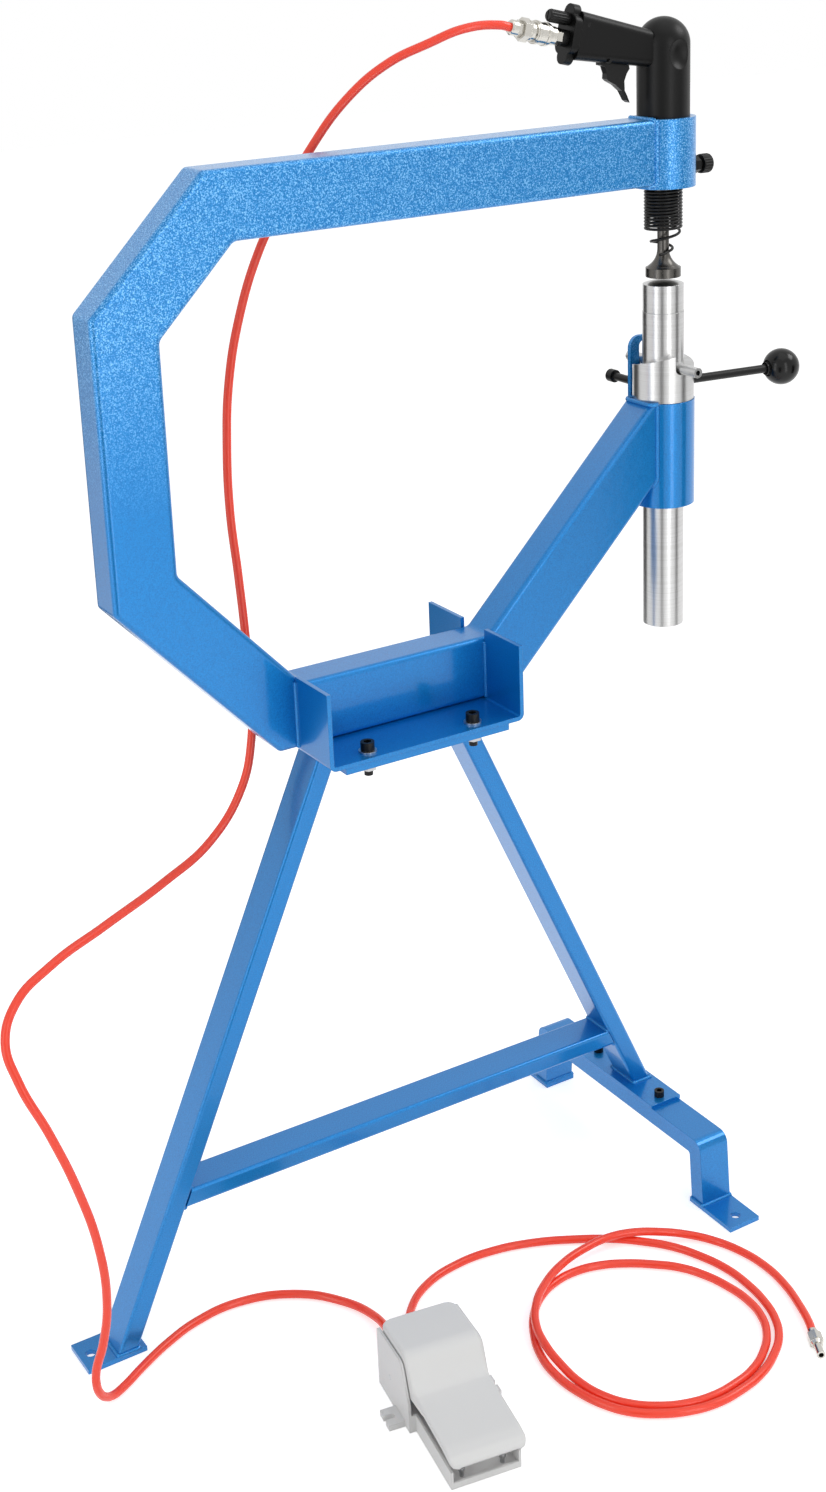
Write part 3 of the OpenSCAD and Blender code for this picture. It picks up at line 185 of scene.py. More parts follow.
def add(tree, kind, inputs=None, **settings):
    """Adds one node with its settings; inputs maps a socket to a value or to the socket that feeds it."""
    made = tree.nodes.new(kind)
    for name, value in settings.items():
        setattr(made, name, value)
    for socket, value in (inputs or {}).items():
        if isinstance(value, bpy.types.NodeSocket):
            tree.links.new(value, made.inputs[socket])
        else:
            made.inputs[socket].default_value = value
    return made


def material(name, **surface):
    """An empty principled material and its tree, surface node and object coordinates."""
    made = bpy.data.materials.new(name)
    made.use_nodes = True
    tree = made.node_tree
    tree.nodes.clear()
    shader = add(tree, "ShaderNodeBsdfPrincipled", surface)
    out = add(tree, "ShaderNodeOutputMaterial")
    tree.links.new(shader.outputs[0], out.inputs[0])
    place = add(tree, "ShaderNodeTexCoord").outputs["Object"]
    return made, tree, shader, place


def ramp(tree, factor, stops):
    """A colour ramp with the given positions and colours."""
    made = add(tree, "ShaderNodeValToRGB", {0: factor})
    band = made.color_ramp
    band.elements[0].position, band.elements[0].color = stops[0]
    band.elements[1].position, band.elements[1].color = stops[-1]
    for position, colour in stops[1:-1]:
        band.elements.new(position).color = colour
    return made.outputs[0]


def noise(tree, vector, size, detail, rough=0.5):
    """Noise whose largest features have the given size, in the vector's unit."""
    return add(tree, "ShaderNodeTexNoise",
               {"Vector": vector, "Scale": 1 / size, "Detail": detail, "Roughness": rough}).outputs[0]


def spread(tree, value, low, high, start=0.0, end=1.0):
    """Maps a value that runs from start to end onto low to high."""
    return add(tree, "ShaderNodeMapRange", {"Value": value, "From Min": start, "From Max": end,
                                            "To Min": low, "To Max": high}).outputs[0]


def soft_corner(tree, radius_mm):
    """A normal that rounds the piece's edges."""
    return add(tree, "ShaderNodeBevel", {"Radius": radius_mm * MM}, samples=4).outputs[0]


def bumped(tree, height, depth_mm, strength, normal):
    """A normal moved by a height pattern."""
    return add(tree, "ShaderNodeBump", {"Height": height, "Distance": depth_mm * MM, "Strength": strength,
                                        "Normal": normal}).outputs[0]


def maths(tree, operation, *values):
    """One step of arithmetic."""
    return add(tree, "ShaderNodeMath", dict(enumerate(values)), operation=operation).outputs[0]


def seen(tree):
    """1 for rays from the camera and from mirrors, 0 for those that only carry light."""
    path = add(tree, "ShaderNodeLightPath").outputs
    return maths(tree, "MAXIMUM", path["Is Camera Ray"], path["Is Glossy Ray"])


def powder_coat(name, low, high, glint, grain_mm, peel_mm, edge_mm=1.2):
    """Baked metallic powder coat: random tone; painted glints and deeper bumps on the upper frame."""
    made, tree, shader, place = material(
        name, **{"Metallic": 0.55, "Roughness": 0.36, "Specular IOR Level": 0.3, "Coat Weight": 0.6,
                 "Coat Roughness": 0.1, "Coat IOR": 1.5})
    level = add(tree, "ShaderNodeSeparateXYZ", {0: place}).outputs["Z"]
    # upper: share, rising with height, of the painted glints and of the deeper bumps
    upper = spread(tree, level, 0.0, 1.0, *GLINT_AND_BUMP_LEVELS)
    grain = noise(tree, place, grain_mm * MM, 2.0, 0.6)
    smooth_tone = ramp(tree, grain, [(0.3, linear(low)), (0.7, linear(high))])
    # the third colour is a painted glint: pale spots where the lamps catch the orange peel
    painted_glints = ramp(tree, grain, [(0.36, linear(low)), (0.5, linear(high)), (0.66, linear(glint))])
    # inputs 0, 6 and 7 of a colour mix are its factor and its two colours
    tone = add(tree, "ShaderNodeMix", {0: upper, 6: smooth_tone, 7: painted_glints}, data_type="RGBA").outputs[2]
    tree.links.new(tone, shader.inputs["Base Color"])
    wave = noise(tree, place, peel_mm * MM, 1.0)
    peel = bumped(tree, wave, 0.2, 0.3, soft_corner(tree, edge_mm))
    texture = bumped(tree, grain, 0.5, spread(tree, upper, 0.04, 0.55), peel)
    tree.links.new(texture, shader.inputs["Normal"])
    tree.links.new(texture, shader.inputs["Coat Normal"])
    return made


def turned_steel(name, code, dark, rough, line_mm):
    """Lathe-turned and polished bar: fine rings round the upright axis, a slight change of tone and gloss."""
    made, tree, shader, place = material(name, **{"Metallic": 1.0})
    scale = (RING_DRIFT, RING_DRIFT, 1 / (line_mm * MM))
    rows = add(tree, "ShaderNodeMapping", {"Vector": place, "Scale": scale}).outputs[0]
    rings = noise(tree, rows, 1.0, 2.0)
    tone = ramp(tree, rings, [(0.35, linear(dark)), (0.6, linear(code))])
    tree.links.new(tone, shader.inputs["Base Color"])
    tree.links.new(spread(tree, rings, rough * 0.97, rough * 1.03), shader.inputs["Roughness"])
    tree.links.new(soft_corner(tree, 0.5), shader.inputs["Normal"])
    return made


def plated(name, code, rough, metallic=1.0, grain_mm=0.8, depth=0.1, edge_mm=0.4, gloss=0.5):
    """Plated or blackened steel with a very fine grain and softened corners."""
    made, tree, shader, place = material(
        name, **{"Base Color": linear(code), "Metallic": metallic, "Roughness": rough,
                 "Specular IOR Level": gloss})
    grain = noise(tree, place, grain_mm * MM, 3.0)
    tree.links.new(spread(tree, grain, rough * 0.75, rough * 1.3), shader.inputs["Roughness"])
    tree.links.new(bumped(tree, grain, 0.1, depth, soft_corner(tree, edge_mm)), shader.inputs["Normal"])
    return made


def satin_paint(name, code, rough, grain_mm, depth, edge_mm=0.8, gloss=0.3):
    """Sprayed satin or smooth enamel on a casting."""
    return plated(name, code, rough, 0.0, grain_mm, depth, edge_mm, gloss)


def polyurethane(name, code):
    """Extruded polyurethane air hose: clear bright colour, light scattered under a slick skin."""
    made, tree, shader, place = material(
        name, **{"Base Color": linear(code), "Roughness": 0.22, "Subsurface Weight": 0.12,
                 "Subsurface Scale": 2 * MM, "Subsurface Radius": (1.0, 0.25, 0.15)})
    tree.links.new(spread(tree, noise(tree, place, 40 * MM, 1.0), 0.17, 0.3), shader.inputs["Roughness"])
    return made


def finishes():
    """Every finish, made once, by the record's slot name."""
    if "Blue metallic powder coat" in bpy.data.materials:
        return {m["slot"]: m for m in bpy.data.materials if "slot" in m}
    made = {
        # the third colour is the pale painted glint of the lamps on the upper frame
        "blue_powder_coat": powder_coat("Blue metallic powder coat", "#0070B8", "#0886D0", "#88CCFC",
                                        1.5, 7.0),
        "black_screws": plated("Black oxide screws", "#1A1A1A", 0.38, 0.6),
        "zinc_steel": plated("Zinc plated steel", "#B9BABC", 0.3),
        "black_housing": satin_paint("Satin black paint", "#050505", 0.36, 1.6, 0.08, 2.2, 0.22),
        "black_parts": satin_paint("Black paint on steel", "#0C0C0C", 0.36, 1.0, 0.1, 0.5),
        "dark_steel": plated("Oiled forged steel", "#5A5855", 0.28, 1.0, 1.2, 0.2),
        "polished_steel": turned_steel("Turned and polished steel", "#C8C8C8", "#BEBEBD", 0.28, 1.5),
        "black_spring": plated("Blackened spring wire", "#1C1C1C", 0.3, 0.7, 0.6, 0.1, 0.1),
        "nickel_fittings": plated("Nickel plated brass", "#C9C6BF", 0.17, 1.0, 0.8, 0.05),
        "knob_plastic": satin_paint("Polished phenolic", "#050505", 0.2, 2.5, 0.03),
        "grey_pedal": satin_paint("Light grey enamel", "#E0E0DF", 0.5, 1.4, 0.04, 1.6),
        "valve_body": plated("Anodised aluminium", "#6E7073", 0.4),
        "red_hose": polyurethane("Red polyurethane", "#FF4830"),
    }
    for slot, one in made.items():
        one["slot"] = slot
    return made


def finish_node(obj, slot):
    """Gives a piece the finish of a slot."""
    obj.data.materials.clear()
    obj.data.materials.append(finishes()[slot])
    return obj


def new_piece(name, data, slot, body, *replaced):
    """A finished piece at the origin that rides on a body and stands for any nodes named."""
    obj = bpy.data.objects.new(name, data)
    bpy.context.scene.collection.objects.link(obj)
    finish_node(obj, slot)
    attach(obj, body)
    if replaced:
        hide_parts(*replaced)
    return obj


def baked(obj):
    """The evaluated mesh object as a plain mesh; the source object and its mesh go."""
    bpy.context.view_layer.update()
    depsgraph = bpy.context.evaluated_depsgraph_get()
    mesh = bpy.data.meshes.new_from_object(obj.evaluated_get(depsgraph), depsgraph=depsgraph)
    source = obj.data
    bpy.data.objects.remove(obj)
    bpy.data.meshes.remove(source)
    return mesh


def smooth(mesh, degrees):
    """Smooth shading with hard edges kept past an angle."""
    mesh.shade_smooth()
    bm = bmesh.new()
    bm.from_mesh(mesh)
    for edge in bm.edges:
        edge.smooth = len(edge.link_faces) == 2 and edge.calc_face_angle(0) < math.radians(degrees)
    bm.to_mesh(mesh)
    bm.free()
    return mesh


def curve_piece(name, points, diameter, slot, body):
    """A round tube along a path of points, kept as a curve of one open spline."""
    data = bpy.data.curves.new(name, "CURVE")
    data.dimensions = "3D"
    data.bevel_depth = diameter / 2
    data.bevel_resolution = HOSE_ROUNDNESS
    data.use_fill_caps = True
    data.resolution_u = HOSE_STEPS
    spline = data.splines.new("BEZIER")
    spline.bezier_points.add(len(points) - 1)
    for place, point in zip(points, spline.bezier_points):
        point.co = place
        point.handle_left_type = point.handle_right_type = "AUTO"
    spline.use_smooth = True
    return new_piece(name, data, slot, body)


def turned_left(way):
    """A plane direction turned a quarter to the left."""
    return Vector((-way.y, way.x))


def shifted(path, reach):
    """A plane path moved to its left, with its corners kept sharp."""
    ways = [(b - a).normalized() for a, b in zip(path, path[1:])]
    moved = []
    for i, point in enumerate(path):
        before, after = turned_left(ways[max(i - 1, 0)]), turned_left(ways[min(i, len(ways) - 1)])
        moved.append(point + (before + after) * reach / (1 + before.dot(after)))
    return moved


def bend(a, b, c, radius, hold=1.2 * MM, steps=6):
    """Points round the corner b of a plane path, with one more on each straight beside it."""
    into, out = (b - a).normalized(), (c - b).normalized()
    turn = math.atan2(into.cross(out), into.dot(out))
    first = b - into * radius * math.tan(abs(turn) / 2)
    middle = first + turned_left(into) * math.copysign(radius, turn)
    arc = [middle + Matrix.Rotation(turn * k / steps, 2) @ (first - middle) for k in range(steps + 1)]
    return [first - into * hold, *arc, arc[-1] + out * hold]


def bar_section(height, width, radius, hold=0.8 * MM, steps=5):
    """Outline of a rounded bar as share of the height and place across; points hold each flat."""
    outline, side = [], width / 2 - radius
    for start, x, y in ((0, height - radius, side), (90, radius, side), (180, radius, -side),
                        (270, height - radius, -side)):
        arc = [math.radians(start + 90 * k / steps) for k in range(steps + 1)]
        arc = [Vector((x + radius * math.cos(a), y + radius * math.sin(a))) for a in arc]
        before = arc[0] + (arc[0] - arc[1]).normalized() * hold
        after = arc[-1] + (arc[-1] - arc[-2]).normalized() * hold
        flat = (before.x, arc[0].y) if start in (90, 270) else (arc[0].x, before.y)
        last = (arc[-1].x, after.y) if start in (90, 270) else (after.x, arc[-1].y)
        outline += [Vector(flat), *arc, Vector(last)]
    return [(point.x / height, point.y) for point in outline]


def ring_mesh(name, rings):
    """A closed skin through rings of equally many points, with both ends filled."""
    bm = bmesh.new()
    rows = [[bm.verts.new(point) for point in ring] for ring in rings]
    for row, after in zip(rows, rows[1:]):
        for k in range(len(row)):
            m = (k + 1) % len(row)
            bm.faces.new((row[k], row[m], after[m], after[k]))
    bm.faces.new(rows[0])
    bm.faces.new(rows[-1])
    bmesh.ops.recalc_face_normals(bm, faces=bm.faces)
    mesh = bpy.data.meshes.new(name)
    bm.to_mesh(mesh)
    bm.free()
    return mesh


def line_object(name, paths):
    """A mesh of edges only; each path is a list of points and whether it closes."""
    points, edges = [], []
    for path, closed in paths:
        first = len(points)
        points += [tuple(point) for point in path]
        edges += [(k, k + 1) for k in range(first, len(points) - 1)]
        if closed:
            edges.append((len(points) - 1, first))
    mesh = bpy.data.meshes.new(name)
    mesh.from_pydata(points, edges, [])
    obj = bpy.data.objects.new(name, mesh)
    bpy.context.scene.collection.objects.link(obj)
    return obj


def new_tree(name, *sockets):
    """An empty geometry tree with the named inputs, and its input node's sockets."""
    tree = bpy.data.node_groups.new(name, "GeometryNodeTree")
    tree.interface.new_socket(name="Geometry", in_out="OUTPUT", socket_type="NodeSocketGeometry")
    for label, kind in (("Geometry", "Geometry"), *sockets):
        tree.interface.new_socket(name=label, in_out="INPUT", socket_type="NodeSocket" + kind)
    return tree, add(tree, "NodeGroupInput").outputs


def end_tree(tree, shape, finish):
    """Ends a geometry tree with real shapes, smooth shading and the finish."""
    shaded = add(tree, "GeometryNodeSetShadeSmooth", {0: shape})
    real = add(tree, "GeometryNodeRealizeInstances", {0: shaded.outputs[0]})
    painted = add(tree, "GeometryNodeSetMaterial", {0: real.outputs[0], "Material": finish})
    add(tree, "NodeGroupOutput", {0: painted.outputs[0]})
    return tree


def wire_tree():
    """Round wire along a path of edges, with closed ends."""
    tree, given = new_tree("Round wire", ("Diameter", "Float"), ("Sides", "Int"), ("Finish", "Material"))
    line = add(tree, "GeometryNodeMeshToCurve", {0: given["Geometry"]})
    profile = add(tree, "GeometryNodeCurvePrimitiveCircle",
                  {"Resolution": given["Sides"], "Radius": maths(tree, "MULTIPLY", given["Diameter"], 0.5)})
    tube = add(tree, "GeometryNodeCurveToMesh",
               {"Curve": line.outputs[0], "Profile Curve": profile.outputs[0], "Fill Caps": True})
    return end_tree(tree, tube.outputs[0], given["Finish"])


def bead_tree():
    """Weld bead along a path of edges: a low round run with ripples and an uneven width."""
    tree, given = new_tree("Weld bead", ("Width", "Float"), ("Ripple spacing", "Float"),
                           ("Ripple depth", "Float"), ("Unevenness", "Float"), ("Drift", "Float"),
                           ("Finish", "Material"))
    line = add(tree, "GeometryNodeMeshToCurve", {0: given["Geometry"]})
    step = maths(tree, "MULTIPLY", given["Ripple spacing"], 0.25)
    run = add(tree, "GeometryNodeResampleCurve", {"Curve": line.outputs[0], "Length": step}, mode="LENGTH")
    along = add(tree, "GeometryNodeSplineParameter").outputs["Length"]
    phase = maths(tree, "MULTIPLY", maths(tree, "DIVIDE", along, given["Ripple spacing"]), math.tau)
    ripple = maths(tree, "MULTIPLY_ADD", maths(tree, "SINE", phase), given["Ripple depth"], 1.0)
    drift = add(tree, "ShaderNodeTexNoise", {"Vector": add(tree, "GeometryNodeInputPosition").outputs[0],
                                             "Scale": given["Drift"], "Detail": 1.0})
    swell = maths(tree, "MULTIPLY_ADD", drift.outputs[0], given["Unevenness"], ripple)
    profile = add(tree, "GeometryNodeCurvePrimitiveCircle",
                  {"Resolution": BEAD_SIDES, "Radius": maths(tree, "MULTIPLY", given["Width"], 0.5)})
    bead = add(tree, "GeometryNodeCurveToMesh", {"Curve": run.outputs[0], "Profile Curve": profile.outputs[0],
                                                 "Scale": swell, "Fill Caps": True})
    return end_tree(tree, bead.outputs[0], given["Finish"])


def grown(source, tree, inputs):
    """The plain mesh that a geometry tree makes of an object; the object goes."""
    modifier = source.modifiers.new(tree.name, "NODES")
    modifier.node_group = tree
    for item in tree.interface.items_tree:
        if item.in_out == "INPUT" and item.name in inputs:
            modifier[item.identifier] = inputs[item.name]
    mesh = baked(source)
    bm = bmesh.new()
    bm.from_mesh(mesh)
    bmesh.ops.recalc_face_normals(bm, faces=bm.faces)
    bm.to_mesh(mesh)
    bm.free()
    return mesh


def on_pedal(x, y, z):
    """A point of the pedal, in millimetres from the middle of its front edge, in the row frame."""
    return PEDAL_PLACE + Matrix.Rotation(PEDAL_YAW, 3, "Z") @ (Vector((x, y, z)) * MM)


def round_post(angle, far, height):
    """A place in the studio: angle in degrees from +X and distance round the line of work, height."""
    a = math.radians(angle)
    return Vector((WORK_X + far * math.cos(a), far * math.sin(a), height))


def between(line, x):
    """Height of a line of (x, z) points at x, level past its ends."""
    if x <= line[0][0]:
        return line[0][1]
    for (x0, z0), (x1, z1) in zip(line, line[1:]):
        if x <= x1:
            return z0 + (z1 - z0) * (x - x0) / (x1 - x0)
    return line[-1][1]


class StudioSettings(bpy.types.PropertyGroup):
    """Camera, lamps and background."""
    camera_place: bpy.props.FloatVectorProperty(
        name="Camera place", description="Where the camera stands", size=3, subtype="XYZ", unit="LENGTH",
        default=(-1.4543, -1.9099, 1.6063))
    yaw: bpy.props.FloatProperty(
        name="Yaw", description="Turn to the right of looking along +Y", unit="ROTATION",
        default=math.radians(30.51))
    pitch: bpy.props.FloatProperty(
        name="Pitch", description="Downward tilt", unit="ROTATION", default=math.radians(17.85))
    roll: bpy.props.FloatProperty(
        name="Roll", description="Turn about the line of sight", unit="ROTATION", default=math.radians(-2.39))
    focal_px: bpy.props.FloatProperty(
        name="Focal length in pixels", description="Focal length in pixels of the picture", default=2044.24)
    centre_px: bpy.props.FloatVectorProperty(
        name="Optical centre", description="Pixel that the line of sight meets", size=2,
        default=(394.49, 554.39))
    world_light: bpy.props.FloatProperty(
        name="Room light", description="Strength of the even light of the room", default=0.56)
    lamp_light: bpy.props.FloatProperty(
        name="Soft box light", description="Radiance of the soft boxes, 1 is white", default=2.0)


class FinishSettings(bpy.types.PropertyGroup):
    """Sizes of the pieces made here."""
    hose_d: bpy.props.FloatProperty(
        name="Hose diameter", description="Outer diameter of the air hose", unit="LENGTH", default=10 * MM)
    spring_wire: bpy.props.FloatProperty(
        name="Spring wire", description="Wire diameter of the retaining spring", unit="LENGTH",
        default=3.4 * MM)
    outer_bend: bpy.props.FloatProperty(
        name="Outer corner radius", description="Radius of the C frame's outer corners", unit="LENGTH",
        default=8 * MM)
    inner_bend: bpy.props.FloatProperty(
        name="Inner corner radius", description="Radius of the C frame's inner corners", unit="LENGTH",
        default=12 * MM)
    bead_width: bpy.props.FloatProperty(
        name="Weld bead width", description="Width of the weld beads", unit="LENGTH", default=5.0 * MM)
    bead_ripple: bpy.props.FloatProperty(
        name="Weld ripple spacing", description="Distance between the ripples of a weld", unit="LENGTH",
        default=2.4 * MM)


class HAMMER_OT_studio(bpy.types.Operator):
    """Makes the camera, the floor, the soft boxes, the dark cards and the room light"""
    bl_idname = "hammer.studio"
    bl_label = "Studio"

    def execute(self, context):
        s = context.scene.hammer_studio
        self.camera(context, s)
        self.world(context, s)
        self.floor(context)
        self.lamps(context, s)
        self.cards(context)
        context.scene.view_settings.view_transform = "Standard"
        return {"FINISHED"}

    def camera(self, context, s):
        forward = Vector((math.sin(s.yaw) * math.cos(s.pitch), math.cos(s.yaw) * math.cos(s.pitch),
                          -math.sin(s.pitch)))
        level = Vector((math.cos(s.yaw), -math.sin(s.yaw), 0))
        upright = level.cross(forward)
        right = level * math.cos(s.roll) + upright * math.sin(s.roll)
        up = -level * math.sin(s.roll) + upright * math.cos(s.roll)
        data = bpy.data.cameras.new("Camera")
        data.sensor_width = SENSOR_W
        data.lens = s.focal_px * SENSOR_W / IMAGE_H
        data.shift_x = (IMAGE_W / 2 - s.centre_px[0]) / IMAGE_H
        data.shift_y = (s.centre_px[1] - IMAGE_H / 2) / IMAGE_H
        data.clip_end = SIGHT
        obj = bpy.data.objects.new("Camera", data)
        axes = Matrix((right, up, -forward)).transposed().to_4x4()
        obj.matrix_world = Matrix.Translation(s.camera_place) @ axes
        context.scene.collection.objects.link(obj)
        context.scene.camera = obj

    def world(self, context, s):
        room = bpy.data.worlds.new("Studio")
        context.scene.world = room
        room.use_nodes = True
        tree = room.node_tree
        tree.nodes.clear()
        soft = add(tree, "ShaderNodeBackground", {"Color": WHITE, "Strength": s.world_light})
        white = add(tree, "ShaderNodeBackground", {"Color": WHITE, "Strength": 1.0})
        both = add(tree, "ShaderNodeMixShader", {0: seen(tree), 1: soft.outputs[0], 2: white.outputs[0]})
        add(tree, "ShaderNodeOutputWorld", {0: both.outputs[0]})

    def floor(self, context):
        bm = bmesh.new()
        bmesh.ops.create_grid(bm, x_segments=1, y_segments=1, size=FLOOR_HALF)
        mesh = bpy.data.meshes.new("studio_floor")
        bm.to_mesh(mesh)
        bm.free()
        made, tree, shader, _ = material("Pale floor", **{"Base Color": linear("#F4F4F4"), "Roughness": 0.9})
        glow = add(tree, "ShaderNodeEmission", {"Color": WHITE, "Strength": FLOOR_GLOW})
        lit = add(tree, "ShaderNodeAddShader", {0: shader.outputs[0], 1: glow.outputs[0]})
        mix = add(tree, "ShaderNodeMixShader", {0: seen(tree), 1: shader.outputs[0], 2: lit.outputs[0]})
        out = next(n for n in tree.nodes if n.type == "OUTPUT_MATERIAL")
        tree.links.new(mix.outputs[0], out.inputs[0])
        mesh.materials.append(made)
        obj = bpy.data.objects.new("studio_floor", mesh)
        obj.location.z = FLOOR_LEVEL
        context.scene.collection.objects.link(obj)

    def lamps(self, context, s):
        """Soft boxes round the line of work, out of the camera's sight."""
        for name, (angle, height, wide, tall, far, share) in SOFT_BOXES.items():
            lamp = bpy.data.lights.new(name, "AREA")
            lamp.shape = "RECTANGLE"
            lamp.size, lamp.size_y = wide, tall
            lamp.energy = s.lamp_light * share * math.pi * wide * tall
            obj = bpy.data.objects.new(name, lamp)
            obj.location = round_post(angle, far, height)
            obj.rotation_euler = (LAMP_AIM - obj.location).to_track_quat("-Z", "Y").to_euler()
            obj.visible_camera = False
            context.scene.collection.objects.link(obj)

    def cards(self, context):
        """Low dark cards that show only in reflections and cast no shadow."""
        dark = material("Dark card", **{"Base Color": linear("#1E1E1E"), "Roughness": 0.9})[0]
        up = Vector((0, 0, CARD_HALF_H))
        for name, (angle, wide) in DARK_CARDS.items():
            a = math.radians(angle)
            centre = round_post(angle, CARD_FAR, CARD_HALF_H)
            across = Vector((-math.sin(a), math.cos(a), 0)) * wide / 2
            mesh = bpy.data.meshes.new(name)
            mesh.from_pydata([centre - across - up, centre + across - up, centre + across + up,
                              centre - across + up], [], [(0, 1, 2, 3)])
            mesh.materials.append(dark)
            obj = bpy.data.objects.new(name, mesh)
            obj.visible_camera = False
            obj.visible_shadow = False
            obj.visible_diffuse = False
            context.scene.collection.objects.link(obj)


class HAMMER_OT_hoses(bpy.types.Operator):
    """Makes the hammer hose and the supply hose along their routes"""
    bl_idname = "hammer.hoses"
    bl_label = "Hoses"

    def execute(self, context):
        d = context.scene.hammer_finish.hose_d
        first = curve_piece("hammer_air_hose", HAMMER_HOSE, d, "red_hose", "frame")
        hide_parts("hammer_hose")
        second = curve_piece("supply_air_hose", SUPPLY_HOSE, d, "red_hose", "frame")
        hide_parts("supply_hose")
        return {"FINISHED"}


class HAMMER_OT_frame(bpy.types.Operator):
    """Makes the C frame as one run of box tube with rounded corners, from the collar round to the boss"""
    bl_idname = "hammer.frame"
    bl_label = "C frame"

    def execute(self, context):
        s = context.scene.hammer_finish
        section = bar_section(TUBE_H, TUBE_W, TUBE_CORNER)
        inner = shifted(FRAME_LINE, TUBE_H)
        rings = [collar_ring(section, BOSS_R - SKIN_SINK)]
        for i in range(1, len(FRAME_LINE) - 1):
            outside = bend(*FRAME_LINE[i - 1:i + 2], s.outer_bend)
            inside = bend(*inner[i - 1:i + 2], s.inner_bend)
            for a, b in zip(outside, inside):
                places = [(a.lerp(b, share), y) for share, y in section]
                rings.append([Vector((place.x, y, place.y)) for place, y in places])
        rings += boss_rings(section, BOSS_R - SKIN_SINK)
        mesh = smooth(ring_mesh("c_frame", rings), 60)
        new_piece("c_frame", mesh, "blue_powder_coat", "frame", "upper_arm_tube", "upper_corner_tube",
                  "column_tube", "lower_corner_tube", "bottom_beam_tube", "lower_arm_tube")
        return {"FINISHED"}


def collar_ring(section, radius):
    """Where the upper arm meets a round of that radius about the line of work."""
    return [Vector((WORK_X - math.sqrt(radius ** 2 - y ** 2), y, FRAME_LINE[0].y - TUBE_H * share))
            for share, y in section]


def boss_rings(section, radius):
    """Where the lower arm meets a round of that radius, cut level with the boss, and the closing ring."""
    a, b = FRAME_LINE[-2], shifted(FRAME_LINE, TUBE_H)[-2]
    way = (FRAME_LINE[-1] - a).normalized()
    cut, closing = [], []
    for share, y in section:
        start = a.lerp(b, share)
        side = WORK_X - math.sqrt(radius ** 2 - y ** 2)
        to_boss, to_top = (side - start.x) / way.x, (BOSS_TOP - SKIN_DROP - start.y) / way.y
        end = start + way * min(to_boss, to_top)
        cut.append(Vector((end.x, y, end.y)))
        closing.append(Vector((side, y, end.y)) if to_top < to_boss else cut[-1] + Vector((1, 0, 1)) * MM)
    return [cut, closing]


class HAMMER_OT_welds(bpy.types.Operator):
    """Makes the painted weld beads of the C frame and the stand"""
    bl_idname = "hammer.welds"
    bl_label = "Weld beads"

    def execute(self, context):
        s = context.scene.hammer_finish
        section = bar_section(TUBE_H, TUBE_W, TUBE_CORNER)
        paths = [(collar_ring(section, BOSS_R), True), (boss_rings(section, BOSS_R)[0], True)]
        paths += self.saddle() + self.guide() + self.stand()
        lines = line_object("weld_beads", paths)
        mesh = grown(lines, bead_tree(), {
            "Width": s.bead_width, "Ripple spacing": s.bead_ripple, "Ripple depth": RIPPLE_DEPTH,
            "Unevenness": UNEVENNESS, "Drift": WIDTH_DRIFT, "Finish": finishes()["blue_powder_coat"]})
        new_piece("weld_beads", mesh, "blue_powder_coat", "frame")
        return {"FINISHED"}

    def saddle(self):
        """Beside the beam, up both faces of each flange."""
        return [([Vector((x, side * FLANGE_BEAD_Y, z)) * MM for z in (SADDLE_FLOOR, top - FLANGE_MARGIN)],
                 False) for x, top in FLANGE_FACES for side in (-1, 1)]

    def guide(self):
        """Up both edges of the pin guide, in the corner with the boss."""
        return [([Vector((GUIDE_X + side * GUIDE_HALF_W, GUIDE_Y, z)) * MM for z in GUIDE_ENDS], False)
                for side in (-1, 1)]

    def stand(self):
        """Round the legs at top and feet, over and under the crossbar's ends, round the foot bar's ends."""
        lean = (LEG_FLOOR_RUN - LEG_TOP_RUN) / LEG_TOP
        across = LEG_T * math.hypot(1, lean)

        def outer(z):
            return LEG_TOP_RUN + (LEG_TOP - z) * lean

        def loop(x0, x1, y0, y1, z):
            return [Vector(p) for p in ((x0, y0, z), (x1, y0, z), (x1, y1, z), (x0, y1, z))], True

        half, paths = LEG_W / 2, []
        for side, low in ((-1, FOOT_PLATE_TOP), (1, FOOT_BAR_TOP)):
            for z in (low, LEG_TOP):
                out, back = (STAND_X + side * reach for reach in (outer(z), outer(z) - across))
                paths.append(loop(out, back, -half, half, z))
            for z in CROSSBAR_FACES:
                x = STAND_X + side * (outer(z) - across)
                ends = (-half + CROSSBAR_MARGIN, half - CROSSBAR_MARGIN)
                paths.append(([Vector((x, y, z)) for y in ends], False))
        for side in (-1, 1):
            y0, y1 = (side * y for y in FOOT_BAR_ENDS)
            paths.append(loop(-FOOT_BAR_HALF_W, FOOT_BAR_HALF_W, y0, y1, FOOT_PLATE_TOP))
        return paths


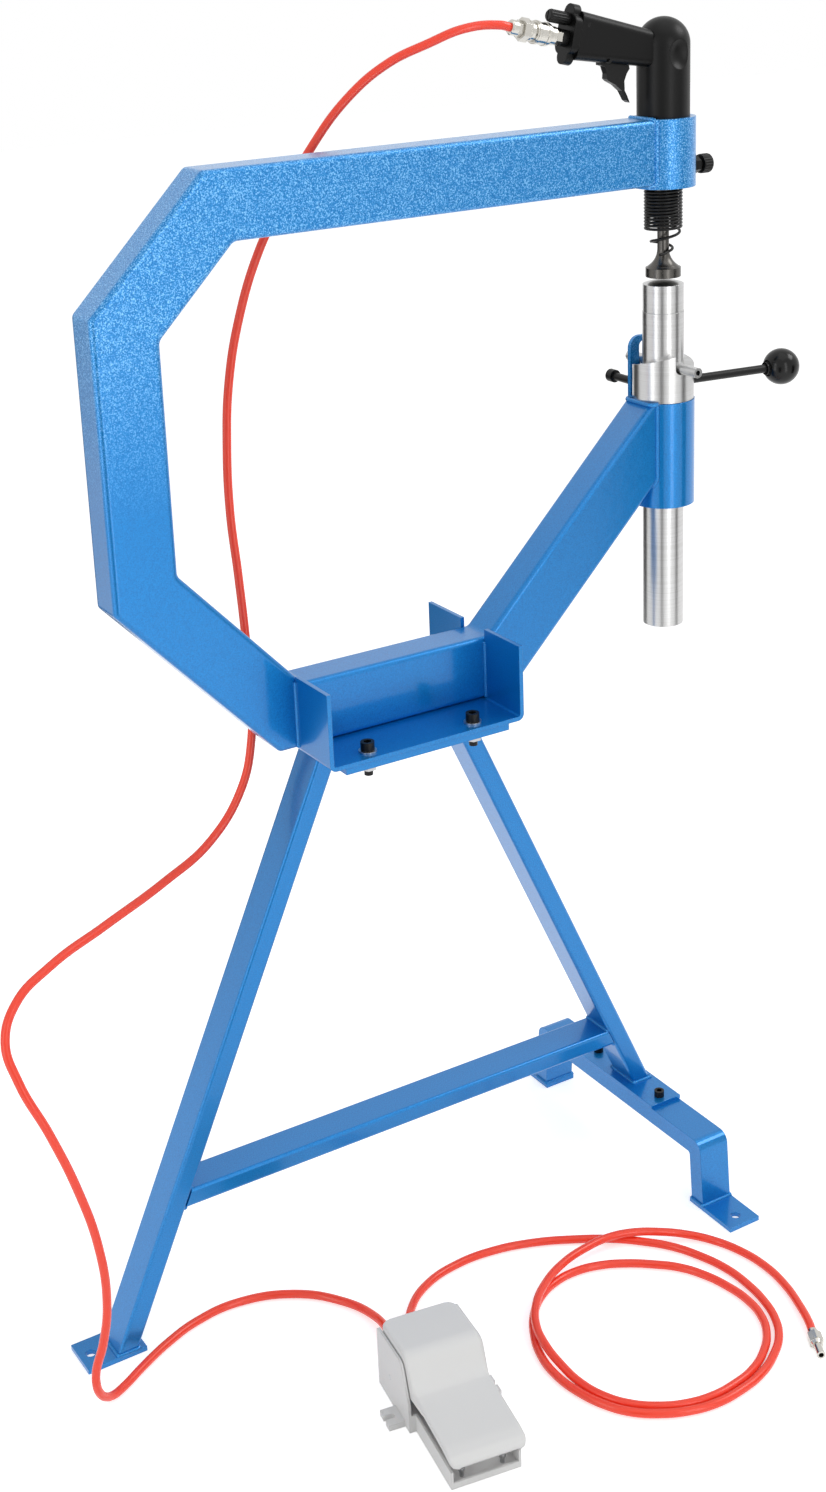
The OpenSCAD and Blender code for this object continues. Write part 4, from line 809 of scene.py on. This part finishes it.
class HAMMER_OT_springs(bpy.types.Operator):
    """Makes the retaining spring, the throttle spring and the pedal's return spring of round wire"""
    bl_idname = "hammer.springs"
    bl_label = "Springs"

    def execute(self, context):
        wire = context.scene.hammer_finish.spring_wire
        tree = wire_tree()
        retainer = self.spring(tree, "retaining_spring", self.retainer_line(), wire, WIRE_SIDES,
                               "black_spring", "retainer_spring")
        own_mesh(retainer)
        throttle = self.spring(tree, "valve_spring", self.coil(Vector(THROTTLE_FOOT) * MM, *THROTTLE_COIL),
                               THROTTLE_WIRE * MM, THIN_WIRE_SIDES, "zinc_steel", "throttle_spring")
        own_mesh(throttle)
        foot = on_pedal(*PEDAL_FOOT)
        pedal = self.spring(tree, "return_spring", self.coil(foot, *PEDAL_COIL),
                            PEDAL_WIRE * MM, THIN_WIRE_SIDES, "zinc_steel", "pedal_spring")
        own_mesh(pedal)
        return {"FINISHED"}

    def spring(self, tree, name, line, wire, sides, slot, node):
        """One spring of round wire; its fixed end stays with the frame."""
        mesh = grown(line_object(name, [(line, False)]), tree,
                     {"Diameter": wire, "Sides": sides, "Finish": finishes()[slot]})
        return new_piece(name, mesh, slot, "frame", node)

    def coil(self, foot, radius, pitch, turns):
        """Points of an even coil above a point; radius and pitch in millimetres."""
        around = [(2 * math.pi * k / COIL_RINGS, k / COIL_RINGS) for k in range(turns * COIL_RINGS + 1)]
        return [foot + Vector((radius * math.cos(a), radius * math.sin(a), pitch * turn)) * MM
                for a, turn in around]

    def retainer_line(self):
        """Close turns from the collar down, then a tail round the shank that ends in an open hook."""
        line, low = [], -RETAINER_TURNS * RETAINER_PITCH
        for k in range(int(RETAINER_TURNS * COIL_RINGS) + 1):
            line.append((RETAINER_R, TAIL_START + 360 * (RETAINER_TURNS - k / COIL_RINGS),
                         -RETAINER_PITCH * k / COIL_RINGS))
        for k in range(1, TAIL_STEPS + 1):
            s = k / TAIL_STEPS
            line.append((TAIL_R + (RETAINER_R - TAIL_R) * (1 - s) ** 1.5, TAIL_START - TAIL_TURN * s,
                         low - RETAINER_PITCH * min(1, 2 * s) - TAIL_DROP * s))
        line += [(TAIL_R + out, TAIL_START - turn, low - drop) for out, turn, drop in TAIL_HOOK]
        top = Vector((WORK_X, 0, RETAINER_TOP * MM))
        return [top + Vector((r * math.cos(math.radians(a)), r * math.sin(math.radians(a)), z)) * MM
                for r, a, z in line]


class HAMMER_OT_pedal_cover(bpy.types.Operator):
    """Makes the pedal's cover as one pressed sheet with rolled edges and side skirts"""
    bl_idname = "hammer.pedal_cover"
    bl_label = "Pedal cover"

    def execute(self, context):
        first, last = COVER_TOP[0][0], COVER_TOP[-1][0]
        rings = [self.slice(first + (last - first) * k / COVER_SLICES) for k in range(COVER_SLICES + 1)]
        mesh = smooth(ring_mesh("foot_pedal_cover", rings), 50)
        new_piece("foot_pedal_cover", mesh, "grey_pedal", "pedal", "pedal_cover")
        return {"FINISHED"}

    def height(self, y):
        """Height of the top, with the bends of its side view rolled."""
        samples = [between(COVER_TOP, y + ROLL_STEP * k) for k in range(-ROLL_REACH, ROLL_REACH + 1)]
        return sum(samples) / len(samples)

    def slice(self, y):
        """Outline of the cover at one place: up one skirt, over the top, down the other and back inside."""
        first, last = COVER_TOP[0][0], COVER_TOP[-1][0]
        top = self.height(y)
        slope = self.height(y + 0.5) - self.height(y - 0.5)
        near = max(COVER_CORNER - min(y - first, last - y), 0)
        half = COVER_W / 2 - COVER_CORNER + math.sqrt(COVER_CORNER ** 2 - near ** 2)
        low = min(between(COVER_LOW, y) if y > COVER_LOW[0][0] else top, top - LEAST_SKIRT)
        outside = self.arch(half, top, low, COVER_EDGE)
        inside = self.arch(half - COVER_T, top - COVER_T * math.hypot(1, slope), low, COVER_EDGE_IN)
        return [on_pedal(x, y, z) for x, z in outside + inside[::-1]]

    def arch(self, half, top, low, radius, steps=5):
        """Outer or inner line of a slice: up at one side, rounded edge, flat, rounded edge and down."""
        radius = min(radius, top - low - LEAST_STRAIGHT)
        edge = [(half - radius + radius * math.cos(a), top - radius + radius * math.sin(a))
                for a in (math.pi / 2 * k / steps for k in range(steps + 1))]
        right = [(half, low), *edge, (half - radius - EDGE_HOLD, top), (half / 3, top)]
        return right + [(-x, z) for x, z in right[::-1]]


class HAMMER_OT_plain_finishes(bpy.types.Operator):
    """Gives every node that keeps its shape the finish of its slot"""
    bl_idname = "hammer.plain_finishes"
    bl_label = "Finishes"

    def execute(self, context):
        painted_over = {"trigger_pin": "black_screws", "handle_roll_pin": "black_screws"}
        for part in frame["record"]["subparts"]:
            slot = painted_over.get(part["node"], part["material_slot"])
            finish_node(frame["nodes"][part["node"]], slot)
        return {"FINISHED"}


class HAMMER_PT_panel(bpy.types.Panel):
    """Lists the pieces that can be made"""
    bl_label = "Planishing hammer"
    bl_idname = "HAMMER_PT_panel"
    bl_space_type = "VIEW_3D"
    bl_region_type = "UI"
    bl_category = "Planishing hammer"

    def draw(self, context):
        for settings in (context.scene.hammer_studio, context.scene.hammer_finish):
            for name in settings.bl_rna.properties.keys():
                if name not in {"rna_type", "name"}:
                    self.layout.prop(settings, name)
        for operator in OPERATORS:
            self.layout.operator(operator.bl_idname)


SETTINGS = (StudioSettings, FinishSettings)
OPERATORS = (HAMMER_OT_studio, HAMMER_OT_hoses, HAMMER_OT_frame, HAMMER_OT_welds, HAMMER_OT_springs,
             HAMMER_OT_pedal_cover, HAMMER_OT_plain_finishes)


def register():
    for one in (*SETTINGS, *OPERATORS, HAMMER_PT_panel):
        bpy.utils.register_class(one)
    bpy.types.Scene.hammer_studio = bpy.props.PointerProperty(type=StudioSettings)
    bpy.types.Scene.hammer_finish = bpy.props.PointerProperty(type=FinishSettings)


def unregister():
    del bpy.types.Scene.hammer_finish
    del bpy.types.Scene.hammer_studio
    for one in reversed((*SETTINGS, *OPERATORS, HAMMER_PT_panel)):
        bpy.utils.unregister_class(one)


def main():
    register()
    bpy.ops.hammer.studio()
    bpy.ops.hammer.hoses()
    bpy.ops.hammer.frame()
    bpy.ops.hammer.welds()
    bpy.ops.hammer.springs()
    bpy.ops.hammer.pedal_cover()
    bpy.ops.hammer.plain_finishes()


if __name__ == "__main__":
    main()
